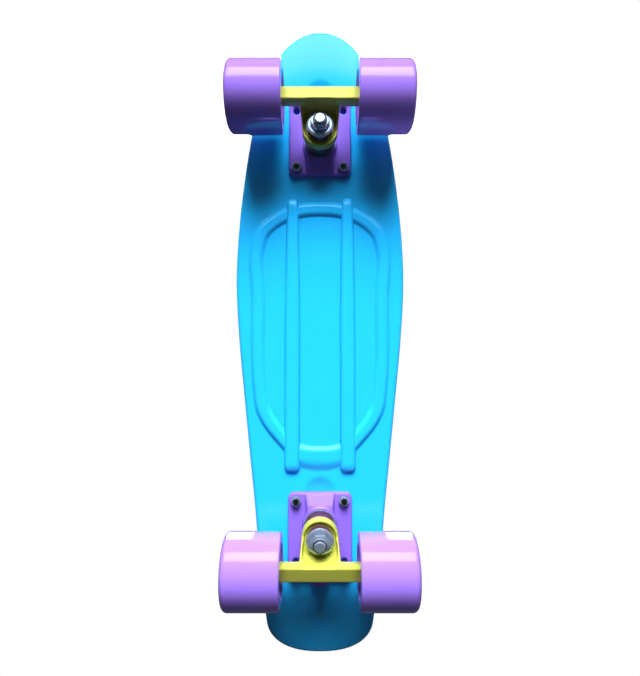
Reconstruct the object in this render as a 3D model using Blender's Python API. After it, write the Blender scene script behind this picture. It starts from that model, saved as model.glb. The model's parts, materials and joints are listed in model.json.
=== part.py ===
"""Moulded plastic mini-cruiser skateboard, modelled as its separate pieces.

Frame: X across the board, +Y towards the nose, +Z up. The origin is on the floor, below the middle
of the deck, and every size is in metres.
"""
import math

import bmesh
import bpy
from mathutils import Matrix, Vector

MM = 0.001

# ---- deck -----------------------------------------------------------------------------------------
DECK_LENGTH = 560 * MM
DECK_WIDTH = 148 * MM
DECK_THICKNESS = 8 * MM
DECK_EDGE_RADIUS = 3.2 * MM
NOSE_LENGTH = 75 * MM            # the stretch in which the outline rounds in to the nose
NOSE_BEND_LENGTH = 52 * MM       # the stretch in which the nose turns up
NOSE_RISE = 2.6 * MM
TAIL_LENGTH = 31 * MM            # the stretch in which the outline rounds in to the tail
TAIL_SQUARENESS = 2.3            # superellipse exponent of the tail's end
TAIL_BEND_LENGTH = 24 * MM       # the curved start of the kick
TAIL_KICK_LENGTH = 77 * MM
TAIL_KICK_ANGLE = math.radians(20)
# Half-width along the board: (place, share of the half-width), both from -1 at the tail to 1.
SIDE_SHAPE = [(-1.0, 0.60), (-0.89, 0.635), (-0.71, 0.703), (-0.536, 0.757), (-0.357, 0.827),
              (-0.179, 0.896), (0.0, 0.962), (0.18, 1.0), (0.357, 0.973), (0.536, 0.899),
              (0.714, 0.795), (0.857, 0.703), (1.0, 0.676)]
EDGE_STEPS = 6                   # facets of the deck's round edge
SIDE_STATIONS = 34

RIB_WIDTH = 13.8 * MM
RIB_LENGTH = 240 * MM
RIB_HEIGHT = 4.4 * MM
RIB_DRAFT = 1.4 * MM
RIB_X = 24.6 * MM
RIB_Y = 5.5 * MM
RIB_END_SHARE = 0.98             # end radius, as a share of the rib's half-width
RIDGE_WIDTH = 11.5 * MM
RIDGE_HEIGHT = 2.6 * MM
RIDGE_SHOULDER = (0.72, 0.75)    # corner of its section, as shares of half its width and its height
# Middle line of the ridge loop's right half, from the nose side to the tail side (millimetres).
RIDGE_LINE = [(0, 112), (18, 110.5), (31, 105.5), (50, 91), (56, 78), (56.5, 30), (55, -42),
              (49, -64), (33, -87), (18, -92.5), (0, -94.5)]
RIDGE_STEPS = 2                  # points between two points of the line
SINK = 1.0 * MM                  # how far joined features reach into the deck

# ---- trucks ---------------------------------------------------------------------------------------
TRUCK_SPACING = 350 * MM         # between the middles of the two base plates
TRUCK_MIDDLE_Y = 6.5 * MM
TRUCK_HEIGHT = 43 * MM           # deck underside to axle
AXLE_OFFSET = 14.8 * MM          # axle outboard of the base plate's middle
BASE_WIDTH = 54.2 * MM
BASE_LENGTH = 73 * MM
BASE_THICKNESS = 4.5 * MM
BASE_CORNER = 5 * MM
BOLT_SPACING_X = 41.2 * MM
BOLT_SPACING_Y = 60.4 * MM
SPARE_HOLE_Y = 20.4 * MM         # the plate's third pair of holes, which holds no bolts
SPINE_WIDTH = 23 * MM
SPINE_STEP = 1.0 * MM            # the spine's step out of the plate at its inboard end
SPINE_HEIGHT = 3.0 * MM          # the spine's rise from its inboard end to the seat
KINGPIN_LEAN = math.radians(9)   # the nut end leans outboard
KINGPIN_Y = -8.5 * MM            # where the kingpin crosses the ring's middle
RING_DEPTH = 27.5 * MM           # ring's middle below the deck
KINGPIN_DIAMETER = 9.5 * MM
KINGPIN_HEAD_DIAMETER = 14 * MM
KINGPIN_HEAD_HEIGHT = 3.2 * MM
KINGPIN_HEAD_DEPTH = 2 * MM      # top of the head below the deck
KINGPIN_CHAMFER = 0.8 * MM
SEAT_DIAMETER = 29 * MM
SEAT_DEPTH = 9 * MM              # along the kingpin, from the deck to the seat's face
SEAT_ROOT = 3 * MM               # where the seat starts, inside the plate
BOARD_BUSHING_DIAMETER = 26 * MM
ROAD_BUSHING_DIAMETER = 21.4 * MM
ROAD_BUSHING_HEIGHT = 7.2 * MM
BUSHING_CHAMFER = 1 * MM
BOARD_BUSHING_TAPER = 1 * MM
ROAD_BUSHING_TAPER = 2 * MM
CUP_THICKNESS = 1.6 * MM
CUP_OVERHANG = 0.84 * MM         # the cup's edge outside its bushing
CUP_BACK_INSET = 1 * MM          # the flat back's edge inside the cup's edge
CUP_EDGE_SHARE = 0.4             # where the edge starts, as a share of the cup's thickness
KINGPIN_NUT_FLATS = 14 * MM
KINGPIN_NUT_HEIGHT = 6.5 * MM
KINGPIN_OVERRUN = 2.0 * MM
RING_DIAMETER = 29.6 * MM
RING_BORE = 15.5 * MM
RING_HEIGHT = 6.4 * MM
YOKE_RING_SHARES = (0.4, 0.6)    # how far the yoke spans the ring's height above and below its middle
YOKE_BEAM_SHARE = 0.8            # how far down the beam's half-height it reaches
YOKE_BEAM_INSET = 1.55 * MM      # its outboard end inboard of the axle
YOKE_RISE = 3 * MM               # its outboard end above the beam
YOKE_WIDTH = 34 * MM
POCKET_MOUTH_WIDTH = 28.4 * MM   # clears the cup washer as the hanger steers
POCKET_WIDTH = 24.6 * MM         # at the ring's lower face
POCKET_DRAFT_DEPTH = 6 * MM      # the stretch in which the pocket widens to its mouth
BEAM_LENGTH = 72.6 * MM
BEAM_WIDTH = 15.5 * MM
BEAM_HEIGHT = 14 * MM
BEAM_FACE_SHARE = 0.62           # width of its upper and lower faces, as a share of its own
BEAM_SIDE_SHARE = 0.35           # height of its two sides, as a share of its own
PIVOT_Y = 24 * MM                # middle of the pivot's ball
PIVOT_DEPTH = 10.5 * MM
PIVOT_DIAMETER = 9.5 * MM
PIVOT_ROOT_DIAMETER = 15 * MM
PIVOT_FLARE = 3 * MM             # below its cup, where the pivot reaches its root's width
PIVOT_NECK_SHARE = 0.95          # its width at the cup's mouth, as a share of the ball's
PIVOT_BALL_TURNS = (1.2, 0.8, 0.4, 0.0)  # radians above the ball's equator
CUP_WALL = 2.0 * MM
CUP_FLOOR = 1.5 * MM
PIVOT_CUP_LENGTH = 9.5 * MM
SOCKET_WALL = 3.2 * MM

# ---- wheels and hardware --------------------------------------------------------------------------
WHEEL_DIAMETER = 59 * MM
WHEEL_WIDTH = 44.9 * MM
WHEEL_LIP_RADIUS = 4 * MM
WHEEL_INNER_LIP_RADIUS = 1.5 * MM
WHEEL_RECESS_DIAMETER = 40 * MM
TRACK_WIDTH = 150.4 * MM         # outer wheel face to outer wheel face
BEARING_DIAMETER = 22 * MM
BEARING_WIDTH = 7 * MM
BEARING_GAP = 10 * MM            # between the two bearings of a wheel
BEARING_STOP_DIAMETER = 17 * MM
BEARING_SEAT_STEP = 2 * MM       # the ledge round a bearing's seat
AXLE_DIAMETER = 8 * MM
AXLE_OVERRUN = 1.5 * MM
SPEED_WASHER_DIAMETER = 12.4 * MM
SPEED_WASHER_THICKNESS = 1 * MM
AXLE_NUT_FLATS = 13 * MM
AXLE_NUT_HEIGHT = 6 * MM
BOLT_DIAMETER = 5 * MM
BOLT_HEAD_DIAMETER = 9.4 * MM
BOLT_HEAD_HEIGHT = 2.8 * MM
BOLT_HEAD_EDGE = 0.42 * MM
BOLT_OVERRUN = 1.2 * MM
HEX_RECESS_FLATS = 3 * MM
HEX_RECESS_DEPTH = 1.8 * MM
BOLT_NUT_FLATS = 8 * MM
BOLT_NUT_HEIGHT = 4.6 * MM

GAP = 0.3 * MM                   # clearance between pieces that touch
CUTTER_REACH = 40 * MM           # how far a cutter runs past what it cuts
MERGE = 0.001 * MM               # points closer than this are one point
ROUND = 18                       # sides of a round piece
SMALL_ROUND = 10
WHEEL_SIDES = 24

# ---- worked out from the sizes above ---------------------------------------------------------------
AXLE_Z = WHEEL_DIAMETER / 2
DECK_BOTTOM = AXLE_Z + TRUCK_HEIGHT
DECK_TOP = DECK_BOTTOM + DECK_THICKNESS
KINGPIN_AXIS = Vector((0, -math.sin(KINGPIN_LEAN), math.cos(KINGPIN_LEAN)))
RING_CENTRE = Vector((0, KINGPIN_Y, -RING_DEPTH))
KINGPIN_FOOT = RING_CENTRE + KINGPIN_AXIS * (RING_DEPTH / KINGPIN_AXIS.z)
PIVOT_CENTRE = Vector((0, PIVOT_Y, -PIVOT_DEPTH))
STEER_AXIS = (PIVOT_CENTRE - RING_CENTRE).normalized()
AXLE_CENTRE = Vector((0, AXLE_OFFSET, -TRUCK_HEIGHT))

# Along the steering axis, from the middle of the pivot's ball.
PIVOT_CUP_TOP = PIVOT_DIAMETER / 2 + GAP + CUP_FLOOR
PIVOT_CUP_BASE = PIVOT_CUP_TOP - PIVOT_CUP_LENGTH
SOCKET_RADIUS = PIVOT_DIAMETER / 2 + GAP + CUP_WALL + GAP

# Distances along the kingpin, from its foot in the deck's plane down to each face.
RING_AT = (RING_CENTRE - KINGPIN_FOOT).length
BOARD_CUP_AT = SEAT_DEPTH + GAP
BOARD_BUSHING_AT = BOARD_CUP_AT + CUP_THICKNESS + GAP
RING_TOP_AT = RING_AT - RING_HEIGHT / 2
RING_BASE_AT = RING_AT + RING_HEIGHT / 2
ROAD_BUSHING_AT = RING_BASE_AT + GAP
ROAD_CUP_AT = ROAD_BUSHING_AT + ROAD_BUSHING_HEIGHT + GAP
KINGPIN_NUT_AT = ROAD_CUP_AT + CUP_THICKNESS + GAP
KINGPIN_END_AT = KINGPIN_NUT_AT + KINGPIN_NUT_HEIGHT + KINGPIN_OVERRUN

# Distances along the axle, from the board's middle.
WHEEL_OUTER_X = TRACK_WIDTH / 2
INNER_BEARING_X = BEAM_LENGTH / 2 + SPEED_WASHER_THICKNESS + 2 * GAP
OUTER_BEARING_X = INNER_BEARING_X + BEARING_WIDTH + BEARING_GAP
SPEED_WASHER_X = OUTER_BEARING_X + BEARING_WIDTH + GAP
AXLE_NUT_X = SPEED_WASHER_X + SPEED_WASHER_THICKNESS + GAP
AXLE_END_X = AXLE_NUT_X + AXLE_NUT_HEIGHT + AXLE_OVERRUN

FINISHES = {
    "deck_plastic": ((0.03, 0.55, 0.82), 0.35, 0.0),
    "truck_purple": ((0.33, 0.14, 0.62), 0.4, 0.2),
    "truck_yellow": ((0.70, 0.68, 0.10), 0.4, 0.2),
    "wheel_urethane": ((0.42, 0.25, 0.80), 0.15, 0.0),
    "bushing_urethane": ((0.20, 0.05, 0.14), 0.4, 0.0),
    "zinc_steel": ((0.66, 0.68, 0.72), 0.3, 1.0),
    "black_steel": ((0.02, 0.02, 0.025), 0.4, 0.6),
    "black_nylon": ((0.03, 0.03, 0.03), 0.6, 0.0),
}


def clear_scene():
    """Remove every object, so that a rerun starts clean."""
    for old in list(bpy.data.objects):
        bpy.data.objects.remove(old, do_unlink=True)


def finish(name):
    """The named Principled material, made on first use."""
    material = bpy.data.materials.get(name)
    if material is None:
        colour, roughness, metallic = FINISHES[name]
        material = bpy.data.materials.new(name)
        material.use_nodes = True
        shader = material.node_tree.nodes["Principled BSDF"]
        shader.inputs["Base Color"].default_value = (*colour, 1.0)
        shader.inputs["Roughness"].default_value = roughness
        shader.inputs["Metallic"].default_value = metallic
    return material


def mesh_from(bm, name, smooth_angle=40):
    """Write a bmesh to a new mesh with outward normals and smooth round sides."""
    bmesh.ops.recalc_face_normals(bm, faces=bm.faces)
    mesh = bpy.data.meshes.new(name)
    bm.to_mesh(mesh)
    bm.free()
    mesh.shade_smooth()
    mesh.set_sharp_from_angle(angle=math.radians(smooth_angle))
    return mesh


def add_piece(name, mesh, material, parent=None, matrix=None):
    """Link one named piece to the scene, under its parent empty."""
    piece = bpy.data.objects.new(name, mesh)
    bpy.context.scene.collection.objects.link(piece)
    if not mesh.materials:
        mesh.materials.append(finish(material))
    if parent is not None:
        piece.parent = parent
    if matrix is not None:
        piece.matrix_local = matrix
    return piece


def add_empty(name, matrix, parent=None):
    """An empty that holds the pieces of one moving group."""
    empty = bpy.data.objects.new(name, None)
    empty.empty_display_size = 0.02
    bpy.context.scene.collection.objects.link(empty)
    if parent is not None:
        empty.parent = parent
    empty.matrix_local = matrix
    return empty


def along(axis, point):
    """A matrix whose Z runs along the axis, with its origin at the point."""
    turn = Vector(axis).to_track_quat("Z", "Y").to_matrix().to_4x4()
    return Matrix.Translation(point) @ turn


def turned(name, profile, sides, closed=False):
    """Spin a profile of (radius, z) points round Z; a closed one makes a ring."""
    bm = bmesh.new()
    verts = [bm.verts.new((radius, 0, z)) for radius, z in profile]
    edges = [bm.edges.new(pair) for pair in zip(verts, verts[1:])]
    if closed:
        edges.append(bm.edges.new((verts[-1], verts[0])))
    bmesh.ops.spin(bm, geom=verts + edges, cent=(0, 0, 0), axis=(0, 0, 1), angle=math.tau,
                   steps=sides, use_merge=True, use_duplicate=False)
    bmesh.ops.remove_doubles(bm, verts=bm.verts, dist=20 * MERGE)
    return mesh_from(bm, name)


def prism(name, outline, low, high):
    """Extrude a flat outline of (x, y) points from one height to another."""
    bm = bmesh.new()
    face = bm.faces.new([bm.verts.new((x, y, low)) for x, y in outline])
    moved = bmesh.ops.extrude_face_region(bm, geom=[face])["geom"]
    top = [item for item in moved if isinstance(item, bmesh.types.BMVert)]
    bmesh.ops.translate(bm, verts=top, vec=(0, 0, high - low))
    return mesh_from(bm, name)


def loft(name, rings, closed=False):
    """Skin a row of point rings; the ends are capped unless the row closes on itself."""
    bm = bmesh.new()
    rows = [[bm.verts.new(point) for point in ring] for ring in rings]
    pairs = list(zip(rows, rows[1:]))
    if closed:
        pairs.append((rows[-1], rows[0]))
    else:
        bm.faces.new(rows[0])
        bm.faces.new(rows[-1])
    for first, second in pairs:
        for i, corner in enumerate(first):
            j = (i + 1) % len(first)
            bm.faces.new((corner, first[j], second[j], second[i]))
    return mesh_from(bm, name)


def combine(target, tool_mesh, operation, matrix=Matrix.Identity(4)):
    """Join a tool mesh to a mesh, or cut it out, and return the new mesh."""
    scene = bpy.context.scene.collection.objects
    body = bpy.data.objects.new("body", target)
    tool = bpy.data.objects.new("tool", tool_mesh)
    scene.link(body)
    scene.link(tool)
    tool.matrix_world = matrix
    change = body.modifiers.new("change", "BOOLEAN")
    change.operation = operation
    change.solver = "EXACT"
    change.object = tool
    bpy.context.view_layer.update()
    shaped = body.evaluated_get(bpy.context.evaluated_depsgraph_get())
    result = bpy.data.meshes.new_from_object(shaped)
    bpy.data.objects.remove(body, do_unlink=True)
    bpy.data.objects.remove(tool, do_unlink=True)
    bm = bmesh.new()
    bm.from_mesh(result)
    bmesh.ops.remove_doubles(bm, verts=bm.verts, dist=MERGE)
    return mesh_from(bm, target.name)


def circle(radius, sides, centre=(0, 0)):
    """Points of a circle, counter-clockwise."""
    turns = [math.tau * i / sides for i in range(sides)]
    return [(centre[0] + radius * math.cos(a), centre[1] + radius * math.sin(a)) for a in turns]


def rod(name, radius, low, high, sides=ROUND):
    """A plain cylinder along Z."""
    return prism(name, circle(radius, sides), low, high)


def ring(name, outer, inner, low, high, sides):
    """A plain tube along Z."""
    profile = [(outer, high), (outer, low), (inner, low), (inner, high)]
    return turned(name, profile, sides, closed=True)


def rounded_box(width, length, corner, steps=4):
    """Outline of a rectangle with round corners."""
    points = []
    for quarter in range(4):
        sign_x = 1 if quarter in (0, 3) else -1
        sign_y = 1 if quarter in (0, 1) else -1
        middle = (sign_x * (width / 2 - corner), sign_y * (length / 2 - corner))
        for step in range(steps + 1):
            angle = math.pi / 2 * (quarter + step / steps)
            points.append((middle[0] + corner * math.cos(angle), middle[1] + corner * math.sin(angle)))
    return points


def hexagon(flats):
    """Outline of a hexagon by its width across flats."""
    return circle(flats / math.sqrt(3), 6)


def hex_nut(name, flats, height, bore):
    """A hexagon nut standing on z = 0."""
    body = prism(name, hexagon(flats), 0, height)
    hole = rod("hole", bore / 2, -height, 2 * height, SMALL_ROUND)
    return combine(body, hole, "DIFFERENCE")


def catmull(before, start, end, after, share):
    """One coordinate of a Catmull-Rom curve between start and end."""
    slope_in = (end - before) / 2
    slope_out = (after - start) / 2
    cube = share ** 3
    square = share ** 2
    return ((2 * cube - 3 * square + 1) * start + (cube - 2 * square + share) * slope_in
            + (3 * square - 2 * cube) * end + (cube - square) * slope_out)


# ---- deck -----------------------------------------------------------------------------------------
def side_half_width(y):
    """Half-width of the deck at y, before its ends round in."""
    place = max(-1.0, min(1.0, y / (DECK_LENGTH / 2)))
    index = max(i for i in range(len(SIDE_SHAPE) - 1) if SIDE_SHAPE[i][0] <= place)
    points = [SIDE_SHAPE[max(0, min(len(SIDE_SHAPE) - 1, index + k))] for k in (-1, 0, 1, 2)]
    share = (place - points[1][0]) / (points[2][0] - points[1][0])
    return DECK_WIDTH / 2 * catmull(*[point[1] for point in points], share)


def half_width(y):
    """Half-width of the deck at y, with its elliptic nose and squarer tail."""
    nose = max(0.0, (y - (DECK_LENGTH / 2 - NOSE_LENGTH)) / NOSE_LENGTH)
    tail = max(0.0, (TAIL_LENGTH - DECK_LENGTH / 2 - y) / TAIL_LENGTH)
    nose_share = math.sqrt(max(0.0, 1 - nose ** 2))
    tail_share = max(0.0, 1 - tail ** TAIL_SQUARENESS) ** (1 / TAIL_SQUARENESS)
    return side_half_width(y) * nose_share * tail_share


def deck_rise(y):
    """Height of the deck at y above its flat middle: a slight nose rise and a tail kick."""
    nose = max(0.0, (y - (DECK_LENGTH / 2 - NOSE_BEND_LENGTH)) / NOSE_BEND_LENGTH)
    back = max(0.0, TAIL_KICK_LENGTH - DECK_LENGTH / 2 - y)
    bend = min(back, TAIL_BEND_LENGTH)
    slope = math.tan(TAIL_KICK_ANGLE)
    kick = slope * bend ** 2 / (2 * TAIL_BEND_LENGTH) + slope * (back - bend)
    return NOSE_RISE * nose ** 2 + kick


def deck_outline():
    """Points round the deck's edge, from the tail up the right side to the nose and back."""
    angles = [math.pi * (i / SIDE_STATIONS - 0.5) for i in range(SIDE_STATIONS + 1)]
    places = [DECK_LENGTH / 2 * math.sin(angle) for angle in angles]
    right = [Vector((half_width(y), y)) for y in places]
    right[0].x = 0
    right[-1].x = 0
    left = [Vector((-point.x, point.y)) for point in right[-2:0:-1]]
    return right + left


def inset_outline(outline, distance):
    """The outline moved inwards along its normals."""
    moved = []
    count = len(outline)
    for i, point in enumerate(outline):
        run = outline[(i + 1) % count] - outline[i - 1]
        normal = Vector((-run.y, run.x)).normalized()
        moved.append(point + normal * distance)
    return moved


def deck_slab():
    """The plain deck: a rounded edge between two skins that follow the rise."""
    outline = deck_outline()
    rings = []
    for step in range(EDGE_STEPS + 1):
        angle = math.pi * (step / EDGE_STEPS - 0.5)
        side = (2 * step > EDGE_STEPS) - (2 * step < EDGE_STEPS)
        inset = DECK_EDGE_RADIUS * (1 - math.cos(angle))
        middle = (DECK_TOP + DECK_BOTTOM) / 2 + side * (DECK_THICKNESS / 2 - DECK_EDGE_RADIUS)
        height = middle + DECK_EDGE_RADIUS * math.sin(angle)
        rings.append([Vector((p.x, p.y, height + deck_rise(p.y)))
                      for p in inset_outline(outline, inset)])
    bm = bmesh.new()
    rows = [[bm.verts.new(point) for point in points] for points in rings]
    count = len(outline)
    for first, second in zip(rows, rows[1:]):
        for i in range(count):
            j = (i + 1) % count
            bm.faces.new((first[i], first[j], second[j], second[i]))
    for row in (rows[0], rows[-1]):
        bm.faces.new((row[0], row[1], row[-1]))
        for i in range(1, SIDE_STATIONS - 1):
            bm.faces.new((row[i], row[i + 1], row[-i - 1], row[-i]))
        top = SIDE_STATIONS
        bm.faces.new((row[top - 1], row[top], row[top + 1]))
    return mesh_from(bm, "deck")


def rib_mesh():
    """A long flat-topped rib with drafted sides and round ends, hanging from z = 0."""
    rings = []
    for depth, draft in ((-SINK, 0), (0, 0), (RIB_HEIGHT, RIB_DRAFT)):
        width = RIB_WIDTH - 2 * draft
        outline = rounded_box(width, RIB_LENGTH - 2 * draft, width / 2 * RIB_END_SHARE)
        rings.append([(x, y, -depth) for x, y in outline])
    return loft("rib", rings)


def ridge_mesh():
    """The round-topped ridge loop, hanging from z = 0."""
    right = [Vector((x * MM, y * MM)) for x, y in RIDGE_LINE]
    corners = right + [Vector((-p.x, p.y)) for p in right[-2:0:-1]]
    count = len(corners)
    path = []
    for i in range(count):
        near = [corners[(i + k) % count] for k in (-1, 0, 1, 2)]
        for step in range(RIDGE_STEPS):
            share = step / RIDGE_STEPS
            path.append(Vector((catmull(*[p.x for p in near], share),
                                catmull(*[p.y for p in near], share))))
    half = RIDGE_WIDTH / 2
    shoulder = half * RIDGE_SHOULDER[0]
    shoulder_z = -RIDGE_HEIGHT * RIDGE_SHOULDER[1]
    section = [(-half, SINK), (-half, 0), (-shoulder, shoulder_z), (0, -RIDGE_HEIGHT),
               (shoulder, shoulder_z), (half, 0), (half, SINK)]
    rings = []
    for i, point in enumerate(path):
        run = path[(i + 1) % len(path)] - path[i - 1]
        side = Vector((run.y, -run.x)).normalized()
        rings.append([(point.x + side.x * s, point.y + side.y * s, z) for s, z in section])
    return loft("ridge", rings, closed=True)


def bolt_places():
    """Middle of each bolt hole: (truck, number, x, y)."""
    places = []
    for truck, sign in (("front", 1), ("rear", -1)):
        middle = TRUCK_MIDDLE_Y + sign * TRUCK_SPACING / 2
        for number, (side_x, side_y) in enumerate(((1, 1), (-1, 1), (-1, -1), (1, -1)), 1):
            place = (side_x * BOLT_SPACING_X / 2, middle + side_y * BOLT_SPACING_Y / 2)
            places.append((truck, number, *place))
    return places


def bolt_profile(clearance):
    """Profile of a countersunk bolt, or of its hole, from the deck top down."""
    head = BOLT_HEAD_DIAMETER / 2 + clearance
    shank = BOLT_DIAMETER / 2 + clearance
    end = DECK_THICKNESS + BASE_THICKNESS + 2 * GAP + BOLT_NUT_HEIGHT + BOLT_OVERRUN
    return [(0, 0), (head, 0), (head, -BOLT_HEAD_EDGE), (shank, -BOLT_HEAD_HEIGHT), (shank, -end),
            (0, -end)]


def bolt_hole_mesh():
    """Cutter for one countersunk hole, which also clears the deck's top face."""
    head = BOLT_HEAD_DIAMETER / 2 + GAP
    return turned("bolt_hole", [(0, SINK), (head, SINK)] + bolt_profile(GAP)[1:], SMALL_ROUND)


def make_deck():
    """Deck with its ribs, ridge loop and countersunk bolt holes."""
    mesh = deck_slab()
    under = Vector((0, 0, DECK_BOTTOM))
    mesh = combine(mesh, ridge_mesh(), "UNION", Matrix.Translation(under))
    for side in (-1, 1):
        place = under + Vector((side * RIB_X, RIB_Y, 0))
        mesh = combine(mesh, rib_mesh(), "UNION", Matrix.Translation(place))
    for _, _, x, y in bolt_places():
        mesh = combine(mesh, bolt_hole_mesh(), "DIFFERENCE", Matrix.Translation((x, y, DECK_TOP)))
    add_piece("deck", mesh, "deck_plastic")


# ---- truck pieces, in the truck's own frame: origin in the deck's underside, +Y outboard ------------
def baseplate_mesh():
    """Base plate with its spine, bushing seat, pivot socket and holes."""
    outline = rounded_box(BASE_WIDTH, BASE_LENGTH, BASE_CORNER)
    mesh = prism("baseplate", outline, -GAP - BASE_THICKNESS, BASE_THICKNESS)
    inner = -BASE_LENGTH / 2 + GAP
    wide = SPINE_WIDTH / 2
    high = -BASE_THICKNESS / 2
    low = -BASE_THICKNESS - SPINE_STEP
    seat_y = KINGPIN_FOOT.y - SEAT_DIAMETER / 4
    spine_end = [(inner, high), (inner, low), (seat_y, low - SPINE_HEIGHT), (seat_y, high)]
    spine = loft("spine", [[(x, y, z) for y, z in spine_end] for x in (-wide, wide)])
    mesh = combine(mesh, spine, "UNION")
    seat = rod("seat", SEAT_DIAMETER / 2, -SEAT_DEPTH, -SEAT_ROOT)
    mesh = combine(mesh, seat, "UNION", along(KINGPIN_AXIS, KINGPIN_FOOT))
    housing = rod("housing", SOCKET_RADIUS + SOCKET_WALL, PIVOT_CUP_BASE, PIVOT_CUP_TOP + SOCKET_WALL)
    mesh = combine(mesh, housing, "UNION", along(STEER_AXIS, PIVOT_CENTRE))
    trim = prism("trim", rounded_box(2 * BASE_WIDTH, 2 * BASE_LENGTH, BASE_CORNER), -GAP, CUTTER_REACH)
    mesh = combine(mesh, trim, "DIFFERENCE")
    socket = rod("socket", SOCKET_RADIUS, -2 * PIVOT_CUP_LENGTH, PIVOT_CUP_TOP + GAP)
    mesh = combine(mesh, socket, "DIFFERENCE", along(STEER_AXIS, PIVOT_CENTRE))
    head_base = -KINGPIN_HEAD_DEPTH - KINGPIN_HEAD_HEIGHT - GAP
    head = rod("head", KINGPIN_HEAD_DIAMETER / 2 + GAP, head_base, CUTTER_REACH)
    mesh = combine(mesh, head, "DIFFERENCE", along(KINGPIN_AXIS, KINGPIN_FOOT))
    shaft = rod("shaft", KINGPIN_DIAMETER / 2 + GAP, -CUTTER_REACH, CUTTER_REACH)
    mesh = combine(mesh, shaft, "DIFFERENCE", along(KINGPIN_AXIS, KINGPIN_FOOT))
    for side_x in (-1, 1):
        for y in (-BOLT_SPACING_Y / 2, BOLT_SPACING_Y / 2, SPARE_HOLE_Y):
            place = (side_x * BOLT_SPACING_X / 2, y, 0)
            hole = rod("hole", BOLT_DIAMETER / 2 + GAP, -CUTTER_REACH, CUTTER_REACH, SMALL_ROUND)
            mesh = combine(mesh, hole, "DIFFERENCE", Matrix.Translation(place))
    return mesh


def pivot_cup_mesh():
    """Open-ended urethane cup round the pivot's ball; z = 0 is the ball's middle."""
    inner = PIVOT_DIAMETER / 2 + GAP
    outer = inner + CUP_WALL
    high = PIVOT_CUP_TOP
    low = PIVOT_CUP_BASE
    floor = high - CUP_FLOOR
    profile = [(0, high), (outer, high), (outer, low), (inner, low), (inner, floor), (0, floor)]
    return turned("pivot_cup", profile, ROUND)


def hanger_mesh():
    """Hanger: hexagonal beam, yoke with its pocket, bushing ring and pivot."""
    half_width_y = BEAM_WIDTH / 2
    half_height = BEAM_HEIGHT / 2
    face_y = half_width_y * BEAM_FACE_SHARE
    side_z = half_height * BEAM_SIDE_SHARE
    section = [(face_y, half_height), (-face_y, half_height), (-half_width_y, side_z),
               (-half_width_y, -side_z), (-face_y, -half_height), (face_y, -half_height),
               (half_width_y, -side_z), (half_width_y, side_z)]
    beam = loft("hanger", [[(x, AXLE_CENTRE.y + y, AXLE_CENTRE.z + z) for y, z in section]
                           for x in (-BEAM_LENGTH / 2, BEAM_LENGTH / 2)])
    ring_top = RING_CENTRE + KINGPIN_AXIS * (RING_HEIGHT * YOKE_RING_SHARES[0])
    ring_base = RING_CENTRE - KINGPIN_AXIS * (RING_HEIGHT * YOKE_RING_SHARES[1])
    narrow = RING_DIAMETER / 2
    wide = YOKE_WIDTH / 2
    beam_y = AXLE_CENTRE.y - YOKE_BEAM_INSET
    beam_top = AXLE_CENTRE.z + half_height + YOKE_RISE
    beam_base = AXLE_CENTRE.z - half_height * YOKE_BEAM_SHARE
    yoke = loft("yoke", [
        [(-narrow, ring_top.y, ring_top.z), (narrow, ring_top.y, ring_top.z),
         (narrow, ring_base.y, ring_base.z), (-narrow, ring_base.y, ring_base.z)],
        [(-wide, beam_y, beam_top), (wide, beam_y, beam_top), (wide, beam_y, beam_base),
         (-wide, beam_y, beam_base)]])
    mesh = combine(beam, yoke, "UNION")
    collar = rod("collar", RING_DIAMETER / 2, -RING_HEIGHT * 0.75, RING_HEIGHT)
    mesh = combine(mesh, collar, "UNION", along(KINGPIN_AXIS, RING_CENTRE))
    root = STEER_AXIS.dot(AXLE_CENTRE - PIVOT_CENTRE) - PIVOT_ROOT_DIAMETER / 2
    ball = PIVOT_DIAMETER / 2
    arc = [(ball * math.cos(a), ball * math.sin(a)) for a in PIVOT_BALL_TURNS]
    stem = [(0, ball)] + arc + [(ball * PIVOT_NECK_SHARE, PIVOT_CUP_BASE - GAP)]
    stem += [(PIVOT_ROOT_DIAMETER / 2, PIVOT_CUP_BASE - PIVOT_FLARE), (PIVOT_ROOT_DIAMETER / 2, root)]
    stem += [(0, root)]
    mesh = combine(mesh, turned("stem", stem, ROUND), "UNION", along(STEER_AXIS, PIVOT_CENTRE))
    pocket_floor = -RING_HEIGHT / 2
    pocket = turned("pocket", [
        (0, pocket_floor), (POCKET_WIDTH / 2, pocket_floor),
        (POCKET_MOUTH_WIDTH / 2, pocket_floor - POCKET_DRAFT_DEPTH),
        (POCKET_MOUTH_WIDTH / 2, -BEAM_LENGTH / 2), (0, -BEAM_LENGTH / 2)], ROUND)
    mesh = combine(mesh, pocket, "DIFFERENCE", along(KINGPIN_AXIS, RING_CENTRE))
    clearance = rod("clearance", RING_DIAMETER / 2 + SINK, RING_HEIGHT / 2, CUTTER_REACH)
    mesh = combine(mesh, clearance, "DIFFERENCE", along(KINGPIN_AXIS, RING_CENTRE))
    bore = rod("bore", RING_BORE / 2, -RING_HEIGHT, RING_HEIGHT)
    mesh = combine(mesh, bore, "DIFFERENCE", along(KINGPIN_AXIS, RING_CENTRE))
    axle_hole = rod("axle_hole", AXLE_DIAMETER / 2 + GAP, -BEAM_LENGTH, BEAM_LENGTH)
    mesh = combine(mesh, axle_hole, "DIFFERENCE", along((1, 0, 0), AXLE_CENTRE))
    return mesh


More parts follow.
